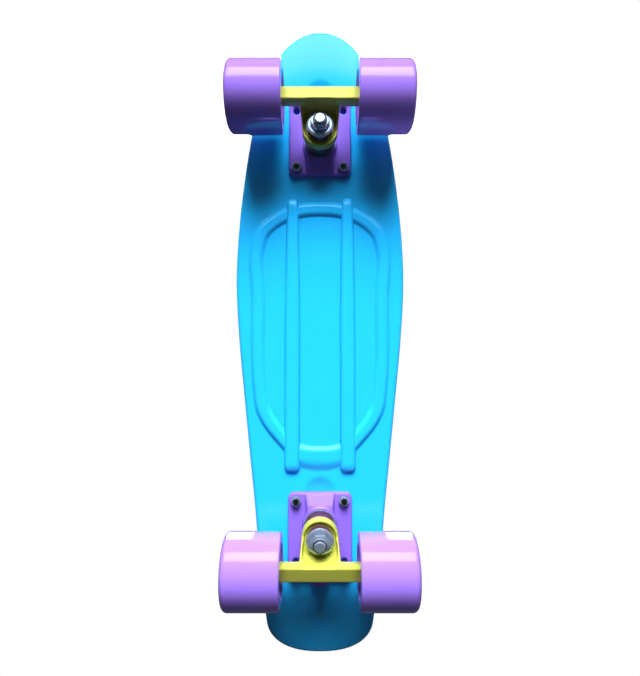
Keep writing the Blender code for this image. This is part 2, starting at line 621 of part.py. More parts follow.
def kingpin_mesh():
    """Kingpin along Z, hanging from its foot in the deck's plane at z = 0."""
    head = KINGPIN_HEAD_DIAMETER / 2
    shank = KINGPIN_DIAMETER / 2
    top = -KINGPIN_HEAD_DEPTH
    neck = top - KINGPIN_HEAD_HEIGHT
    end = -KINGPIN_END_AT
    profile = [(0, top), (head, top), (head, neck), (shank, neck), (shank, end + KINGPIN_CHAMFER),
               (shank - KINGPIN_CHAMFER, end), (0, end)]
    return turned("kingpin", profile, ROUND)


def bushing_mesh(name, diameter, height, taper):
    """A urethane barrel or cone, its broad end at z = 0 and its narrow end at -height."""
    outer = diameter / 2
    inner = KINGPIN_DIAMETER / 2 + GAP
    profile = [(outer - BUSHING_CHAMFER, 0), (outer, -BUSHING_CHAMFER), (outer, -height / 2),
               (outer - taper, -height), (inner, -height), (inner, 0)]
    return turned(name, profile, ROUND, closed=True)


def cup_washer_mesh(name, bushing_diameter):
    """A cupped washer, its flat back at z = 0 and its lip towards +Z."""
    inner = KINGPIN_DIAMETER / 2 + GAP
    lip_inner = bushing_diameter / 2 - BUSHING_CHAMFER + GAP
    outer = bushing_diameter / 2 + CUP_OVERHANG
    profile = [(outer, CUP_THICKNESS), (outer, CUP_THICKNESS * CUP_EDGE_SHARE),
               (outer - CUP_BACK_INSET, 0), (inner, 0), (inner, CUP_THICKNESS),
               (lip_inner, CUP_THICKNESS)]
    return turned(name, profile, ROUND, closed=True)


# ---- wheels ---------------------------------------------------------------------------------------
def wheel_mesh():
    """Wheel round Z, its middle at z = 0 and its outer face towards +Z."""
    outer = WHEEL_DIAMETER / 2
    half = WHEEL_WIDTH / 2
    middle_x = WHEEL_OUTER_X - half
    recess = WHEEL_RECESS_DIAMETER / 2
    seat = BEARING_DIAMETER / 2 + GAP
    stop = BEARING_STOP_DIAMETER / 2
    seat_out = OUTER_BEARING_X + BEARING_WIDTH + GAP - middle_x
    stop_out = OUTER_BEARING_X - GAP - middle_x
    stop_in = INNER_BEARING_X + BEARING_WIDTH + GAP - middle_x
    seat_in = INNER_BEARING_X - GAP - middle_x
    lip = []
    for angle in (90, 60, 30, 0):
        turn = math.radians(angle)
        lip.append((outer - WHEEL_LIP_RADIUS * (1 - math.cos(turn)),
                    half - WHEEL_LIP_RADIUS * (1 - math.sin(turn))))
    small = WHEEL_INNER_LIP_RADIUS
    profile = [(recess, half)] + lip
    profile += [(outer, -half + small), (outer - small * 0.3, -half + small * 0.3),
                (outer - small, -half), (recess, -half)]
    ledge = seat + BEARING_SEAT_STEP
    profile += [(ledge, seat_in), (seat, seat_in), (seat, stop_in), (stop, stop_in),
                (stop, stop_out), (seat, stop_out), (seat, seat_out), (ledge, seat_out)]
    return turned("wheel", profile, WHEEL_SIDES, closed=True)


def bearing_mesh():
    """Bearing round Z, from z = 0 outwards."""
    outer = BEARING_DIAMETER / 2
    inner = AXLE_DIAMETER / 2 + GAP
    return ring("bearing", outer, inner, 0, BEARING_WIDTH, ROUND)


# ---- assembly -------------------------------------------------------------------------------------
def make_trucks():
    """Two trucks; the rear one is the front one turned half round."""
    shared = {
        "baseplate": (baseplate_mesh(), "truck_purple"),
        "pivot_cup": (pivot_cup_mesh(), "black_nylon"),
        "hanger": (hanger_mesh(), "truck_yellow"),
        "axle": (rod("axle", AXLE_DIAMETER / 2, -AXLE_END_X, AXLE_END_X), "zinc_steel"),
        "kingpin": (kingpin_mesh(), "zinc_steel"),
        "kingpin_nut": (hex_nut("kingpin_nut", KINGPIN_NUT_FLATS, KINGPIN_NUT_HEIGHT,
                                KINGPIN_DIAMETER + 2 * GAP), "zinc_steel"),
    }
    board_height = RING_TOP_AT - GAP - BOARD_BUSHING_AT
    board_bushing = bushing_mesh("board_bushing", BOARD_BUSHING_DIAMETER, board_height,
                                 BOARD_BUSHING_TAPER)
    road_bushing = bushing_mesh("road_bushing", ROAD_BUSHING_DIAMETER, ROAD_BUSHING_HEIGHT,
                                ROAD_BUSHING_TAPER)
    board_cup = cup_washer_mesh("board_cup_washer", BOARD_BUSHING_DIAMETER)
    road_cup = cup_washer_mesh("road_cup_washer", ROAD_BUSHING_DIAMETER)
    washer = ring("speed_washer", SPEED_WASHER_DIAMETER / 2, AXLE_DIAMETER / 2 + GAP, 0,
                  SPEED_WASHER_THICKNESS, SMALL_ROUND)
    axle_nut = hex_nut("axle_nut", AXLE_NUT_FLATS, AXLE_NUT_HEIGHT, AXLE_DIAMETER + 2 * GAP)
    wheel = wheel_mesh()
    bearing = bearing_mesh()
    up = along(KINGPIN_AXIS, KINGPIN_FOOT)
    flip = Matrix.Rotation(math.pi, 4, "X")

    for truck, sign in (("front", 1), ("rear", -1)):
        place = Matrix.Translation((0, TRUCK_MIDDLE_Y + sign * TRUCK_SPACING / 2, DECK_BOTTOM))
        turn = Matrix.Identity(4) if sign > 0 else Matrix.Rotation(math.pi, 4, "Z")
        mount = add_empty(f"{truck}_truck_mount", place @ turn)
        steer = add_empty(f"{truck}_steer_axis", Matrix.Translation(RING_CENTRE), mount)
        back = Matrix.Translation(-RING_CENTRE)

        def fixed(kind, mesh, material, matrix=Matrix.Identity(4)):
            add_piece(f"{truck}_{kind}", mesh, material, mount, matrix)

        def steered(kind, mesh, material, matrix=Matrix.Identity(4)):
            add_piece(f"{truck}_{kind}", mesh, material, steer, back @ matrix)

        def down(distance):
            return up @ Matrix.Translation((0, 0, -distance))

        fixed("baseplate", *shared["baseplate"])
        fixed("pivot_cup", *shared["pivot_cup"], along(STEER_AXIS, PIVOT_CENTRE))
        fixed("kingpin", *shared["kingpin"], up)
        fixed("board_cup_washer", board_cup, "zinc_steel", down(BOARD_CUP_AT) @ flip)
        fixed("board_bushing", board_bushing, "bushing_urethane",
              down(BOARD_BUSHING_AT + board_height) @ flip)
        fixed("road_bushing", road_bushing, "bushing_urethane", down(ROAD_BUSHING_AT))
        fixed("road_cup_washer", road_cup, "zinc_steel", down(ROAD_CUP_AT + CUP_THICKNESS))
        fixed("kingpin_nut", *shared["kingpin_nut"], down(KINGPIN_NUT_AT + KINGPIN_NUT_HEIGHT))
        steered("hanger", *shared["hanger"])
        steered("axle", *shared["axle"], along((1, 0, 0), AXLE_CENTRE))
        for side, direction in (("left", -1), ("right", 1)):
            outward = direction * sign

            def on_axle(distance):
                centre = AXLE_CENTRE + Vector((outward * distance, 0, 0))
                return along((outward, 0, 0), centre)

            name = f"{truck}_{side}"
            steered(f"{side}_speed_washer", washer, "zinc_steel", on_axle(SPEED_WASHER_X))
            steered(f"{side}_axle_nut", axle_nut, "zinc_steel", on_axle(AXLE_NUT_X))
            hub = add_empty(f"{name}_wheel_axis", back @ on_axle(WHEEL_OUTER_X - WHEEL_WIDTH / 2), steer)
            add_piece(f"{name}_wheel", wheel, "wheel_urethane", hub, Matrix.Identity(4))
            for place_name, distance in (("inner", INNER_BEARING_X), ("outer", OUTER_BEARING_X)):
                shift = Matrix.Translation((0, 0, distance - (WHEEL_OUTER_X - WHEEL_WIDTH / 2)))
                add_piece(f"{name}_{place_name}_bearing", bearing, "zinc_steel", hub, shift)


def make_bolts():
    """Eight countersunk bolts and the nuts below the base plates."""
    bolt = turned("deck_bolt", bolt_profile(0), SMALL_ROUND)
    recess = prism("recess", hexagon(HEX_RECESS_FLATS), -HEX_RECESS_DEPTH, SINK)
    bolt = combine(bolt, recess, "DIFFERENCE")
    nut = hex_nut("deck_nut", BOLT_NUT_FLATS, BOLT_NUT_HEIGHT, BOLT_DIAMETER + 2 * GAP)
    nut_z = DECK_BOTTOM - BASE_THICKNESS - 2 * GAP - BOLT_NUT_HEIGHT
    for truck, number, x, y in bolt_places():
        add_piece(f"{truck}_deck_bolt_{number}", bolt, "black_steel",
                  matrix=Matrix.Translation((x, y, DECK_TOP)))
        add_piece(f"{truck}_deck_nut_{number}", nut, "zinc_steel",
                  matrix=Matrix.Translation((x, y, nut_z)))


def main():
    """Build the whole skateboard."""
    clear_scene()
    make_deck()
    make_trucks()
    make_bolts()


main()
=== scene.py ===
import json
import math
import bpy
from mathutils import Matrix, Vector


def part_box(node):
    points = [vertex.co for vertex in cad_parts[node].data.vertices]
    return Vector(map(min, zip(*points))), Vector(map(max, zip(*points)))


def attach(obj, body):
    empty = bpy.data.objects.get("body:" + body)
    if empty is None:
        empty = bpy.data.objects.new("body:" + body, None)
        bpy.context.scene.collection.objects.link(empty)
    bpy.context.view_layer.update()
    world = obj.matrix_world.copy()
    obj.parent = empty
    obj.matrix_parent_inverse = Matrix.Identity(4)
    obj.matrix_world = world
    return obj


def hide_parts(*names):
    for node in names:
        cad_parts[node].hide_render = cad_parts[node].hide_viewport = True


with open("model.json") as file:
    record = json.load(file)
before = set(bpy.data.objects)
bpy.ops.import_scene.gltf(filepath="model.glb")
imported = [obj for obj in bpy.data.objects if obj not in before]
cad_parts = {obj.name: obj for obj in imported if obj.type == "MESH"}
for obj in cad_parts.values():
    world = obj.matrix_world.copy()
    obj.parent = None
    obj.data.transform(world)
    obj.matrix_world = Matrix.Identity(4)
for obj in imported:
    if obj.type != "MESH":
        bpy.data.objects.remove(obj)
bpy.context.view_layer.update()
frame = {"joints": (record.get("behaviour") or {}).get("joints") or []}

from types import SimpleNamespace

import bpy
import numpy as np
from mathutils import Matrix

bl_info = {
    "name": "Mini Cruiser Skateboard",
    "version": (1, 0, 0),
    "blender": (4, 5, 0),
    "location": "3D View > Sidebar > Skateboard",
    "description": "Builds the finished look of a moulded mini cruiser skateboard round its solid frame",
    "category": "Add Mesh",
}

# Lengths are in millimetres until a mesh is made, which is in metres. X runs across the board, +Y to the
# nose and +Z up. A truck's own frame has its origin in the deck's underside above the middle of the base
# plate, with +Y outboard.
MM = 0.001
TURN = 2 * math.pi
GAP = 0.3                         # clearance that the frame leaves between touching pieces
WELD = 0.001                      # points closer than this are one point
TRUCKS = ("front", "rear")
SIDES = ("left", "right")


# ---- sizes read from the frame ----
def corners(node):
    """Lowest and highest corner of a frame node, as two arrays."""
    return tuple(np.array(corner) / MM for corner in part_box(node))


def middle(node):
    """Middle of a frame node's box."""
    return sum(corners(node)) / 2


def size(node):
    """Lengths of a frame node's box."""
    low, high = corners(node)
    return high - low


DECK_WIDTH, DECK_LENGTH = size("deck")[:2]
DECK_TOP = corners("front_deck_bolt_1")[1][2]
DECK_BOTTOM = corners("front_baseplate")[1][2] + GAP
BASE_WIDTH, BASE_LENGTH = size("front_baseplate")[:2]
AXLE_RADIUS = size("front_axle")[2] / 2
WHEEL_RADIUS = size("front_left_wheel")[2] / 2
WHEEL_WIDTH = size("front_left_wheel")[0]
WHEEL_OUTER = corners("front_right_wheel")[1][0]
BEAM_LENGTH = size("front_hanger")[0]
TRUCK_MIDDLE = {truck: middle(f"{truck}_baseplate")[1] for truck in TRUCKS}
TRUCK_SIGN = {"front": 1, "rear": -1}
AXLE_POINT = np.array([0, middle("front_axle")[1] - TRUCK_MIDDLE["front"],
                       middle("front_axle")[2] - DECK_BOTTOM])


def steer_axis():
    """Steering axis of the front truck, pointing at the pivot, in the truck's own frame."""
    joint = next(item for item in frame["joints"] if item["name"] == "front_steer")
    return np.array(joint["axis"]) / np.linalg.norm(joint["axis"])


STEER_AXIS = steer_axis()
KINGPIN_LEAN = math.radians(9)
KINGPIN_AXIS = np.array([0, -math.sin(KINGPIN_LEAN), math.cos(KINGPIN_LEAN)])
RING_MIDDLE = np.array([0, -8.5, -27.5])
KINGPIN_FOOT = RING_MIDDLE - KINGPIN_AXIS * RING_MIDDLE[2] / KINGPIN_AXIS[2]
PIVOT_POINT = np.array([0, 24, -10.5])

# Distances along the kingpin from the deck's underside, away from the deck.
SEAT_AT = 9
CUP_THICKNESS = 1.6
BOARD_CUP_AT = SEAT_AT + GAP
BOARD_BUSHING_AT = BOARD_CUP_AT + CUP_THICKNESS + GAP
RING_AT = float(np.linalg.norm(RING_MIDDLE - KINGPIN_FOOT))
RING_HALF = 3.2
ROAD_BUSHING_AT = RING_AT + RING_HALF + GAP
ROAD_BUSHING_HEIGHT = 7.2
ROAD_CUP_AT = ROAD_BUSHING_AT + ROAD_BUSHING_HEIGHT + GAP
KINGPIN_NUT_AT = ROAD_CUP_AT + CUP_THICKNESS + GAP
KINGPIN_NUT_HEIGHT = 6.5
KINGPIN_END_AT = KINGPIN_NUT_AT + KINGPIN_NUT_HEIGHT + 2
KINGPIN_BORE = 5.05               # radius of the bores that the kingpin goes through
BOARD_BUSHING_RADIUS = 13
ROAD_BUSHING_RADIUS = 10.7

# Distances along the axle from the board's middle.
INNER_BEARING_AT = 37.9
BEARING_WIDTH = 7
OUTER_BEARING_AT = 54.9
SPEED_WASHER_AT = 62.2
AXLE_NUT_AT = 63.5
AXLE_NUT_HEIGHT = 6
WASHER_BORE = 4.3                 # radius of the bores that an axle goes through


# ---- settings that a user would change ----
def length(name, description, default):
    """A length setting, given in millimetres and kept in metres."""
    return bpy.props.FloatProperty(name=name, description=description, default=default * MM,
                                   min=0, unit="LENGTH", precision=5)


def colour(name, description, default):
    """A linear colour setting."""
    return bpy.props.FloatVectorProperty(name=name, description=description, default=default,
                                         size=3, min=0, max=1, subtype="COLOR")


def power(name, description, default):
    """A lamp's power setting in watts."""
    return bpy.props.FloatProperty(name=name, description=description, default=default, min=0,
                                   unit="POWER")


class DeckSettings(bpy.types.PropertyGroup):
    """Sizes of the deck's fine shape."""
    edge_radius: length("Edge radius", "Rounding of the deck's edge", 3.2)
    rim_width: length("Rim width", "Plain rim round the tread", 7.0)
    bead_inset: length("Bead inset", "Edge to the middle of the bead", 9.2)
    bead_width: length("Bead width", "Width of the bead round the tread", 2.4)
    floor_depth: length("Floor depth", "How far the tread's floor lies below the rim", 1.0)
    pitch_across: length("Pitch across", "Width of one diamond of the tread", 19.5)
    pitch_along: length("Pitch along", "Length of one diamond of the tread", 11.8)
    tail_pitch: length("Tail pitch", "Length of one diamond on the tail", 12.9)
    tread_width: length("Tread width", "Width of one ridge of the tread", 2.7)
    disc_radius: length("Disc radius", "Radius of the plain round field, to its bead", 28.6)
    rib_width: length("Rib width", "Width of each long rib below the deck", 13.8)
    rib_height: length("Rib height", "Height of each long rib", 4.4)
    loop_width: length("Loop width", "Width of the ridge loop below the deck", 12.2)
    loop_height: length("Loop height", "Height of the ridge loop", 2.6)


class FinishSettings(bpy.types.PropertyGroup):
    """Colours of the moulded, painted and cast pieces."""
    deck: colour("Deck", "Moulded deck plastic", (0.012, 0.39, 0.86))
    plate: colour("Base plate", "Paint of the base plates", (0.18, 0.10, 0.56))
    hanger: colour("Hanger", "Paint of the hangers", (0.34, 0.37, 0.052))
    wheel: colour("Wheel", "Cast wheel urethane", (0.24, 0.135, 0.64))
    bushing: colour("Bushing", "Cast bushing urethane", (0.045, 0.012, 0.03))
    steel: colour("Zinc", "Zinc-plated steel", (0.38, 0.48, 0.64))


class StageSettings(bpy.types.PropertyGroup):
    """Light and camera of the stage."""
    key_power: power("Key", "Power of the low key light", 9.2)
    card_power: power("Card", "Power of the card that gives the sheen", 9)
    window_power: power("Window", "Power of the wide low window", 7)
    ceiling_power: power("Ceiling", "Power of the overhead light", 50)
    room: bpy.props.FloatProperty(name="Room", description="Strength of the room's own light",
                                  default=0.07, min=0)
    camera_depth: length("Camera depth", "Camera below the deck's underside", 475.4)
    camera_tilt: bpy.props.FloatProperty(name="Camera tilt", description="Lean of the camera to the nose",
                                         default=math.radians(2.75), subtype="ANGLE")


def in_millimetres(settings):
    """The lengths of a group of settings, in millimetres."""
    return SimpleNamespace(**{name: getattr(settings, name) / MM for name in settings.__annotations__})


# ---- surfaces ----
def skin(rows, columns, close_rows=False, close_columns=False):
    """Four-sided faces of a grid of rows x columns points, closed on itself in either direction."""
    row = np.arange(rows if close_rows else rows - 1)
    column = np.arange(columns if close_columns else columns - 1)
    row, column = np.meshgrid(row, column, indexing="ij")
    next_row = (row + 1) % rows
    next_column = (column + 1) % columns
    quads = [row * columns + column, row * columns + next_column,
             next_row * columns + next_column, next_row * columns + column]
    return np.stack(quads, -1).reshape(-1, 4)


def volume(points, quads):
    """Signed volume inside the faces: the sum of the tetrahedra from the origin to each triangle."""
    a, b, c, d = (points[quads[:, k]] for k in range(4))
    return float(np.einsum("ij,ij->", a, np.cross(b, c)) + np.einsum("ij,ij->", a, np.cross(c, d)))


def outward(points, quads):
    """The same surface with its faces turned outwards, by the sign of its volume."""
    points = np.asarray(points, float).reshape(-1, 3)
    return points, quads if volume(points, quads) > 0 else quads[:, ::-1]


def gather(surfaces):
    """Several surfaces as one."""
    points, quads, start = [], [], 0
    for own_points, own_quads in surfaces:
        points.append(own_points)
        quads.append(own_quads + start)
        start += len(own_points)
    return np.concatenate(points), np.concatenate(quads)


def make_mesh(name, surface, sharp):
    """A mesh of the surface in metres, with equal points made one and collapsed faces dropped. Edges
    sharper than the given angle in degrees stay crisp."""
    points, quads = surface
    keys = np.round(points / WELD).astype(np.int64)
    _, first, merged = np.unique(keys, axis=0, return_index=True, return_inverse=True)
    quads = merged.reshape(-1)[quads]
    repeated = quads == np.roll(quads, -1, axis=1)
    count = repeated.sum(1)
    triangles = quads[count == 1][~repeated[count == 1]].reshape(-1, 3)
    mesh = bpy.data.meshes.new(name)
    mesh.from_pydata((points[first] * MM).tolist(), [], quads[count == 0].tolist() + triangles.tolist())
    mesh.update()
    mesh.shade_smooth()
    mesh.set_sharp_from_angle(angle=math.radians(sharp))
    return mesh


def add_piece(name, surface, finish, body, replaces=(), sharp=32):
    """Link one piece, which rides on a body and stands for the frame's own nodes. Its finish gives its
    material."""
    piece = bpy.data.objects.new(name, make_mesh(name, surface, sharp))
    bpy.context.scene.collection.objects.link(piece)
    piece.data.materials.append(finish_material(finish))
    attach(piece, body)
    if replaces:
        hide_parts(*replaces)


def rounded(corner_list, steps=5, closed=True):
    """Points of an outline of (u, v, radius) corners: each corner is a circle's arc between its two
    tangent points, or the bare point where its radius is zero."""
    path = np.array(corner_list, float)
    count = len(path)
    share = np.linspace(0, 1, steps + 1)[:, None]
    points = []
    for i, (u, v, radius) in enumerate(path):
        corner = np.array([u, v])
        if radius == 0 or (not closed and i in (0, count - 1)):
            points.append(corner[None])
            continue
        to_last = path[i - 1, :2] - corner
        to_next = path[(i + 1) % count, :2] - corner
        to_last = to_last / np.linalg.norm(to_last)
        to_next = to_next / np.linalg.norm(to_next)
        half = math.acos(np.clip(to_last @ to_next, -1, 1)) / 2
        bisector = (to_last + to_next) / np.linalg.norm(to_last + to_next)
        centre = corner + bisector * radius / math.sin(half)
        start = corner + to_last * radius / math.tan(half) - centre
        end = corner + to_next * radius / math.tan(half) - centre
        sweep = math.pi - 2 * half
        arc = (np.sin((1 - share) * sweep) * start + np.sin(share * sweep) * end) / math.sin(sweep)
        points.append(centre + arc)
    return np.concatenate(points)


def turned(rows, sides, closed=True):
    """Rows of (radius, height) turned round Z: x = r cos a, y = r sin a. A radius is plain, or one for
    every angle a."""
    angle = TURN * np.arange(sides) / sides
    radius, height = (np.stack([np.broadcast_to(row[k], sides) for row in rows], -1) for k in (0, 1))
    points = np.stack([radius * np.cos(angle)[:, None], radius * np.sin(angle)[:, None], height], -1)
    return outward(points, skin(sides, len(rows), True, closed))


def lathed(corner_list, steps, sides, closed=True):
    """An outline of rounded (radius, height, corner radius) corners turned round Z."""
    return turned(rounded(corner_list, steps, closed), sides, closed)


def swept(path, across, up, section, loop=False):
    """A closed section of (across, up) carried along a path; open ends are drawn in to a point."""
    rows = path[:, None] + across[:, None] * section[None, :, :1] + up[:, None] * section[None, :, 1:]
    if not loop:
        first, last = (np.broadcast_to(rows[end].mean(0), rows[:1].shape) for end in (0, -1))
        rows = np.concatenate([first, rows, last])
    return outward(rows, skin(len(rows), len(section), loop, True))


def placed(surface, axis, point):
    """The surface turned so that its Z runs along the axis, with its origin moved to the point."""
    points, quads = surface
    axis = np.asarray(axis, float) / np.linalg.norm(axis)
    guide = np.array([1.0, 0, 0]) if abs(axis[0]) < 0.9 else np.array([0, 1.0, 0])
    first = guide - axis * (guide @ axis)
    first /= np.linalg.norm(first)
    turn = np.stack([first, np.cross(axis, first), axis])
    return points @ turn + np.asarray(point, float), quads


def in_truck(surface, truck):
    """The surface moved from a truck's own frame into the board's; the rear truck faces back."""
    points, quads = surface
    sign = TRUCK_SIGN[truck]
    return points * [sign, sign, 1] + [0, TRUCK_MIDDLE[truck], DECK_BOTTOM], quads


def turned_over(surface):
    """The surface with its Z reversed, by half a turn round X."""
    points, quads = surface
    return points * [1, -1, -1], quads


def moved(surface, *shift):
    """The surface moved by a shift in X, Y and Z."""
    points, quads = surface
    return points + shift, quads


def down_kingpin(surface, distance):
    """The surface stood on the kingpin, its +Z away from the deck and its origin at that distance."""
    return placed(surface, -KINGPIN_AXIS, KINGPIN_FOOT - KINGPIN_AXIS * distance)


def on_axle(surface, outward_sign, distance):
    """The surface stood on the axle, its +Z outwards and its origin at that distance."""
    return placed(surface, (outward_sign, 0, 0), AXLE_POINT + [outward_sign * distance, 0, 0])


# ---- solid fields: negative inside, in millimetres ----
def join(a, b, blend):
    """Union of two fields with a fillet: the smaller value, lowered by a parabola where they are close."""
    near = np.maximum(blend - np.abs(a - b), 0) / blend
    return np.minimum(a, b) - near * near * blend / 4


def meet(a, b, blend):
    """The part inside both fields, with its edge rounded."""
    return -join(-a, -b, blend)


def cut(body, tool, blend):
    """The body without the tool, with the new edge rounded."""
    return meet(body, -tool, blend)


def between(value, low, high):
    """Distance outside the range from low to high."""
    return np.maximum(low - value, value - high)


def polygon(u, v, outline, blend):
    """A convex outline as the largest of its sides' distances, with its corners rounded."""
    outline = np.array(outline, float)
    centre = outline.mean(0)
    field = None
    for start, end in zip(outline, np.roll(outline, -1, axis=0)):
        normal = np.array([end[1] - start[1], start[0] - end[0]])
        normal /= np.linalg.norm(normal)
        if normal @ (start - centre) < 0:
            normal = -normal
        side = (u - start[0]) * normal[0] + (v - start[1]) * normal[1]
        field = side if field is None else meet(field, side, blend)
    return field


def rod(spot, point, axis, radius, low, high, blend):
    """A round rod from low to high along an axis through a point; its radius may vary along it."""
    dx, dy, dz = (value - start for value, start in zip(spot, point))
    along = dx * axis[0] + dy * axis[1] + dz * axis[2]
    off = np.sqrt(np.maximum(dx * dx + dy * dy + dz * dz - along * along, 0))
    width = radius(along) if callable(radius) else radius
    return meet(off - width, between(along, low, high), blend)


NET_PULLS = 3                     # how often a point is drawn onto the surface
NET_NUDGE = 0.05                  # how far apart the slope is measured, as a share of a cell
NET_FLATTEST = 0.25               # the least squared slope that a point is moved by


def net(field, low, high, step):
    """The surface where a field is zero: one point in each cell that it crosses, at the mean of the
    cell's edge crossings and then drawn onto the surface along the field's slope, with a face round
    each crossed edge."""
    axes = [np.arange(low[k], high[k] + step, step) for k in range(3)]
    x, y, z = np.meshgrid(*axes, indexing="ij", sparse=True)
    value = field(x, y, z)
    cells = tuple(n - 1 for n in value.shape)
    total = np.zeros((*cells, 3))
    count = np.zeros(cells)
    crossings = []
    for k in range(3):
        a, b = (k + 1) % 3, (k + 2) % 3
        start = np.take(value, range(cells[k]), k)
        end = np.take(value, range(1, cells[k] + 1), k)
        crossed = (start < 0) != (end < 0)
        at = np.argwhere(crossed)
        v0, v1 = start[crossed], end[crossed]
        spot = np.stack([axes[n][at[:, n]] for n in range(3)], -1)
        spot[:, k] += step * v0 / (v0 - v1)
        inner = (at[:, a] > 0) & (at[:, b] > 0) & (at[:, a] < cells[a]) & (at[:, b] < cells[b])
        at, spot, v0 = at[inner], spot[inner], v0[inner]
        ring = []
        for shift_a, shift_b in ((1, 1), (0, 1), (0, 0), (1, 0)):
            cell = at.copy()
            cell[:, a] -= shift_a
            cell[:, b] -= shift_b
            np.add.at(total, tuple(cell.T), spot)
            np.add.at(count, tuple(cell.T), 1)
            ring.append(cell)
        crossings.append((ring, v0 < 0))
    used = count > 0
    number = np.cumsum(used.ravel()).reshape(cells) - 1
    points = total[used] / count[used][:, None]
    quads = []
    for ring, inside in crossings:
        face = np.stack([number[tuple(cell.T)] for cell in ring], -1)
        quads.append(np.where(inside[:, None], face, face[:, ::-1]))
    nudge = step * NET_NUDGE
    for _ in range(NET_PULLS):
        value = field(*points.T)
        slope = np.stack([field(*(points + nudge * unit).T) - value for unit in np.eye(3)], -1) / nudge
        move = -value / np.maximum((slope ** 2).sum(1), NET_FLATTEST)
        points = points + np.clip(move[:, None] * slope, -step / 2, step / 2)
    return outward(points, np.concatenate(quads))


# ---- the deck's outline and rise ----
NOSE_LENGTH = 75
NOSE_BEND_LENGTH = 52
NOSE_RISE = 2.6
TAIL_LENGTH = 31
TAIL_SQUARENESS = 2.3
TAIL_BEND_LENGTH = 24
TAIL_KICK_LENGTH = 77
TAIL_SLOPE = math.tan(math.radians(20))
# Half-width along the board: place from -1 at the tail to 1, and share of the widest half-width.
SIDE_PLACES, SIDE_SHARES = np.array([
    (-1.0, 0.60), (-0.89, 0.635), (-0.71, 0.703), (-0.536, 0.757), (-0.357, 0.827), (-0.179, 0.896),
    (0.0, 0.962), (0.18, 1.0), (0.357, 0.973), (0.536, 0.899), (0.714, 0.795), (0.857, 0.703),
    (1.0, 0.676)]).T
DECK_STATIONS = 400
DISH_RADIUS = 13.5                # a shallow round dish at the nose side of each base plate
DISH_DEPTH = 2.4
DISH_PLACES = (TRUCK_MIDDLE["front"] + 38, TRUCK_MIDDLE["rear"] + 36)
DISH_COLUMNS = 25


def hermite(start, end, slope_in, slope_out, share):
    """The cubic that leaves start and reaches end with the two slopes."""
    square, cube = share ** 2, share ** 3
    return ((2 * cube - 3 * square + 1) * start + (cube - 2 * square + share) * slope_in
            + (3 * square - 2 * cube) * end + (cube - square) * slope_out)


def half_width(y):
    """Half-width of the deck: a cubic through its side points, times an ellipse at the nose and a
    squarer one at the tail."""
    place = np.clip(y / (DECK_LENGTH / 2), -1, 1)
    padded = np.pad(SIDE_SHARES, 1, "edge")
    slopes = (padded[2:] - padded[:-2]) / 2
    i = np.clip(np.searchsorted(SIDE_PLACES, place, side="right") - 1, 0, len(SIDE_PLACES) - 2)
    share = (place - SIDE_PLACES[i]) / (SIDE_PLACES[i + 1] - SIDE_PLACES[i])
    side = hermite(SIDE_SHARES[i], SIDE_SHARES[i + 1], slopes[i], slopes[i + 1], share)
    nose = np.clip((y - (DECK_LENGTH / 2 - NOSE_LENGTH)) / NOSE_LENGTH, 0, 1)
    tail = np.clip((TAIL_LENGTH - DECK_LENGTH / 2 - y) / TAIL_LENGTH, 0, 1)
    ends = np.sqrt(1 - nose ** 2) * (1 - tail ** TAIL_SQUARENESS) ** (1 / TAIL_SQUARENESS)
    return DECK_WIDTH / 2 * side * ends


def rise(y):
    """Height of the deck above its flat middle: a parabola at the nose, and at the tail a parabola that
    runs into a straight kick."""
    nose = np.maximum(0, (y - (DECK_LENGTH / 2 - NOSE_BEND_LENGTH)) / NOSE_BEND_LENGTH)
    back = np.maximum(0, TAIL_KICK_LENGTH - DECK_LENGTH / 2 - y)
    bend = np.minimum(back, TAIL_BEND_LENGTH)
    kick = TAIL_SLOPE * bend ** 2 / (2 * TAIL_BEND_LENGTH) + TAIL_SLOPE * (back - bend)
    return NOSE_RISE * nose ** 2 + kick


def heading(path):
    """Direction of a closed path at each point, from the point before to the point after."""
    return np.roll(path, -1, axis=0) - np.roll(path, 1, axis=0)


def deck_outline():
    """Points round the deck's edge, crowded at both ends by a sine, and the direction inwards."""
    angle = np.linspace(-math.pi / 2, math.pi / 2, DECK_STATIONS + 1)
    y = DECK_LENGTH / 2 * np.sin(angle)
    x = half_width(y)
    x[[0, -1]] = 0
    right = np.stack([x, y], -1)
    left = (right * [-1, 1])[-2:0:-1]
    outline = np.concatenate([right, left])
    run = heading(outline)
    inward = np.stack([-run[:, 1], run[:, 0]], -1) / np.linalg.norm(run, axis=1)[:, None]
    return outline, inward


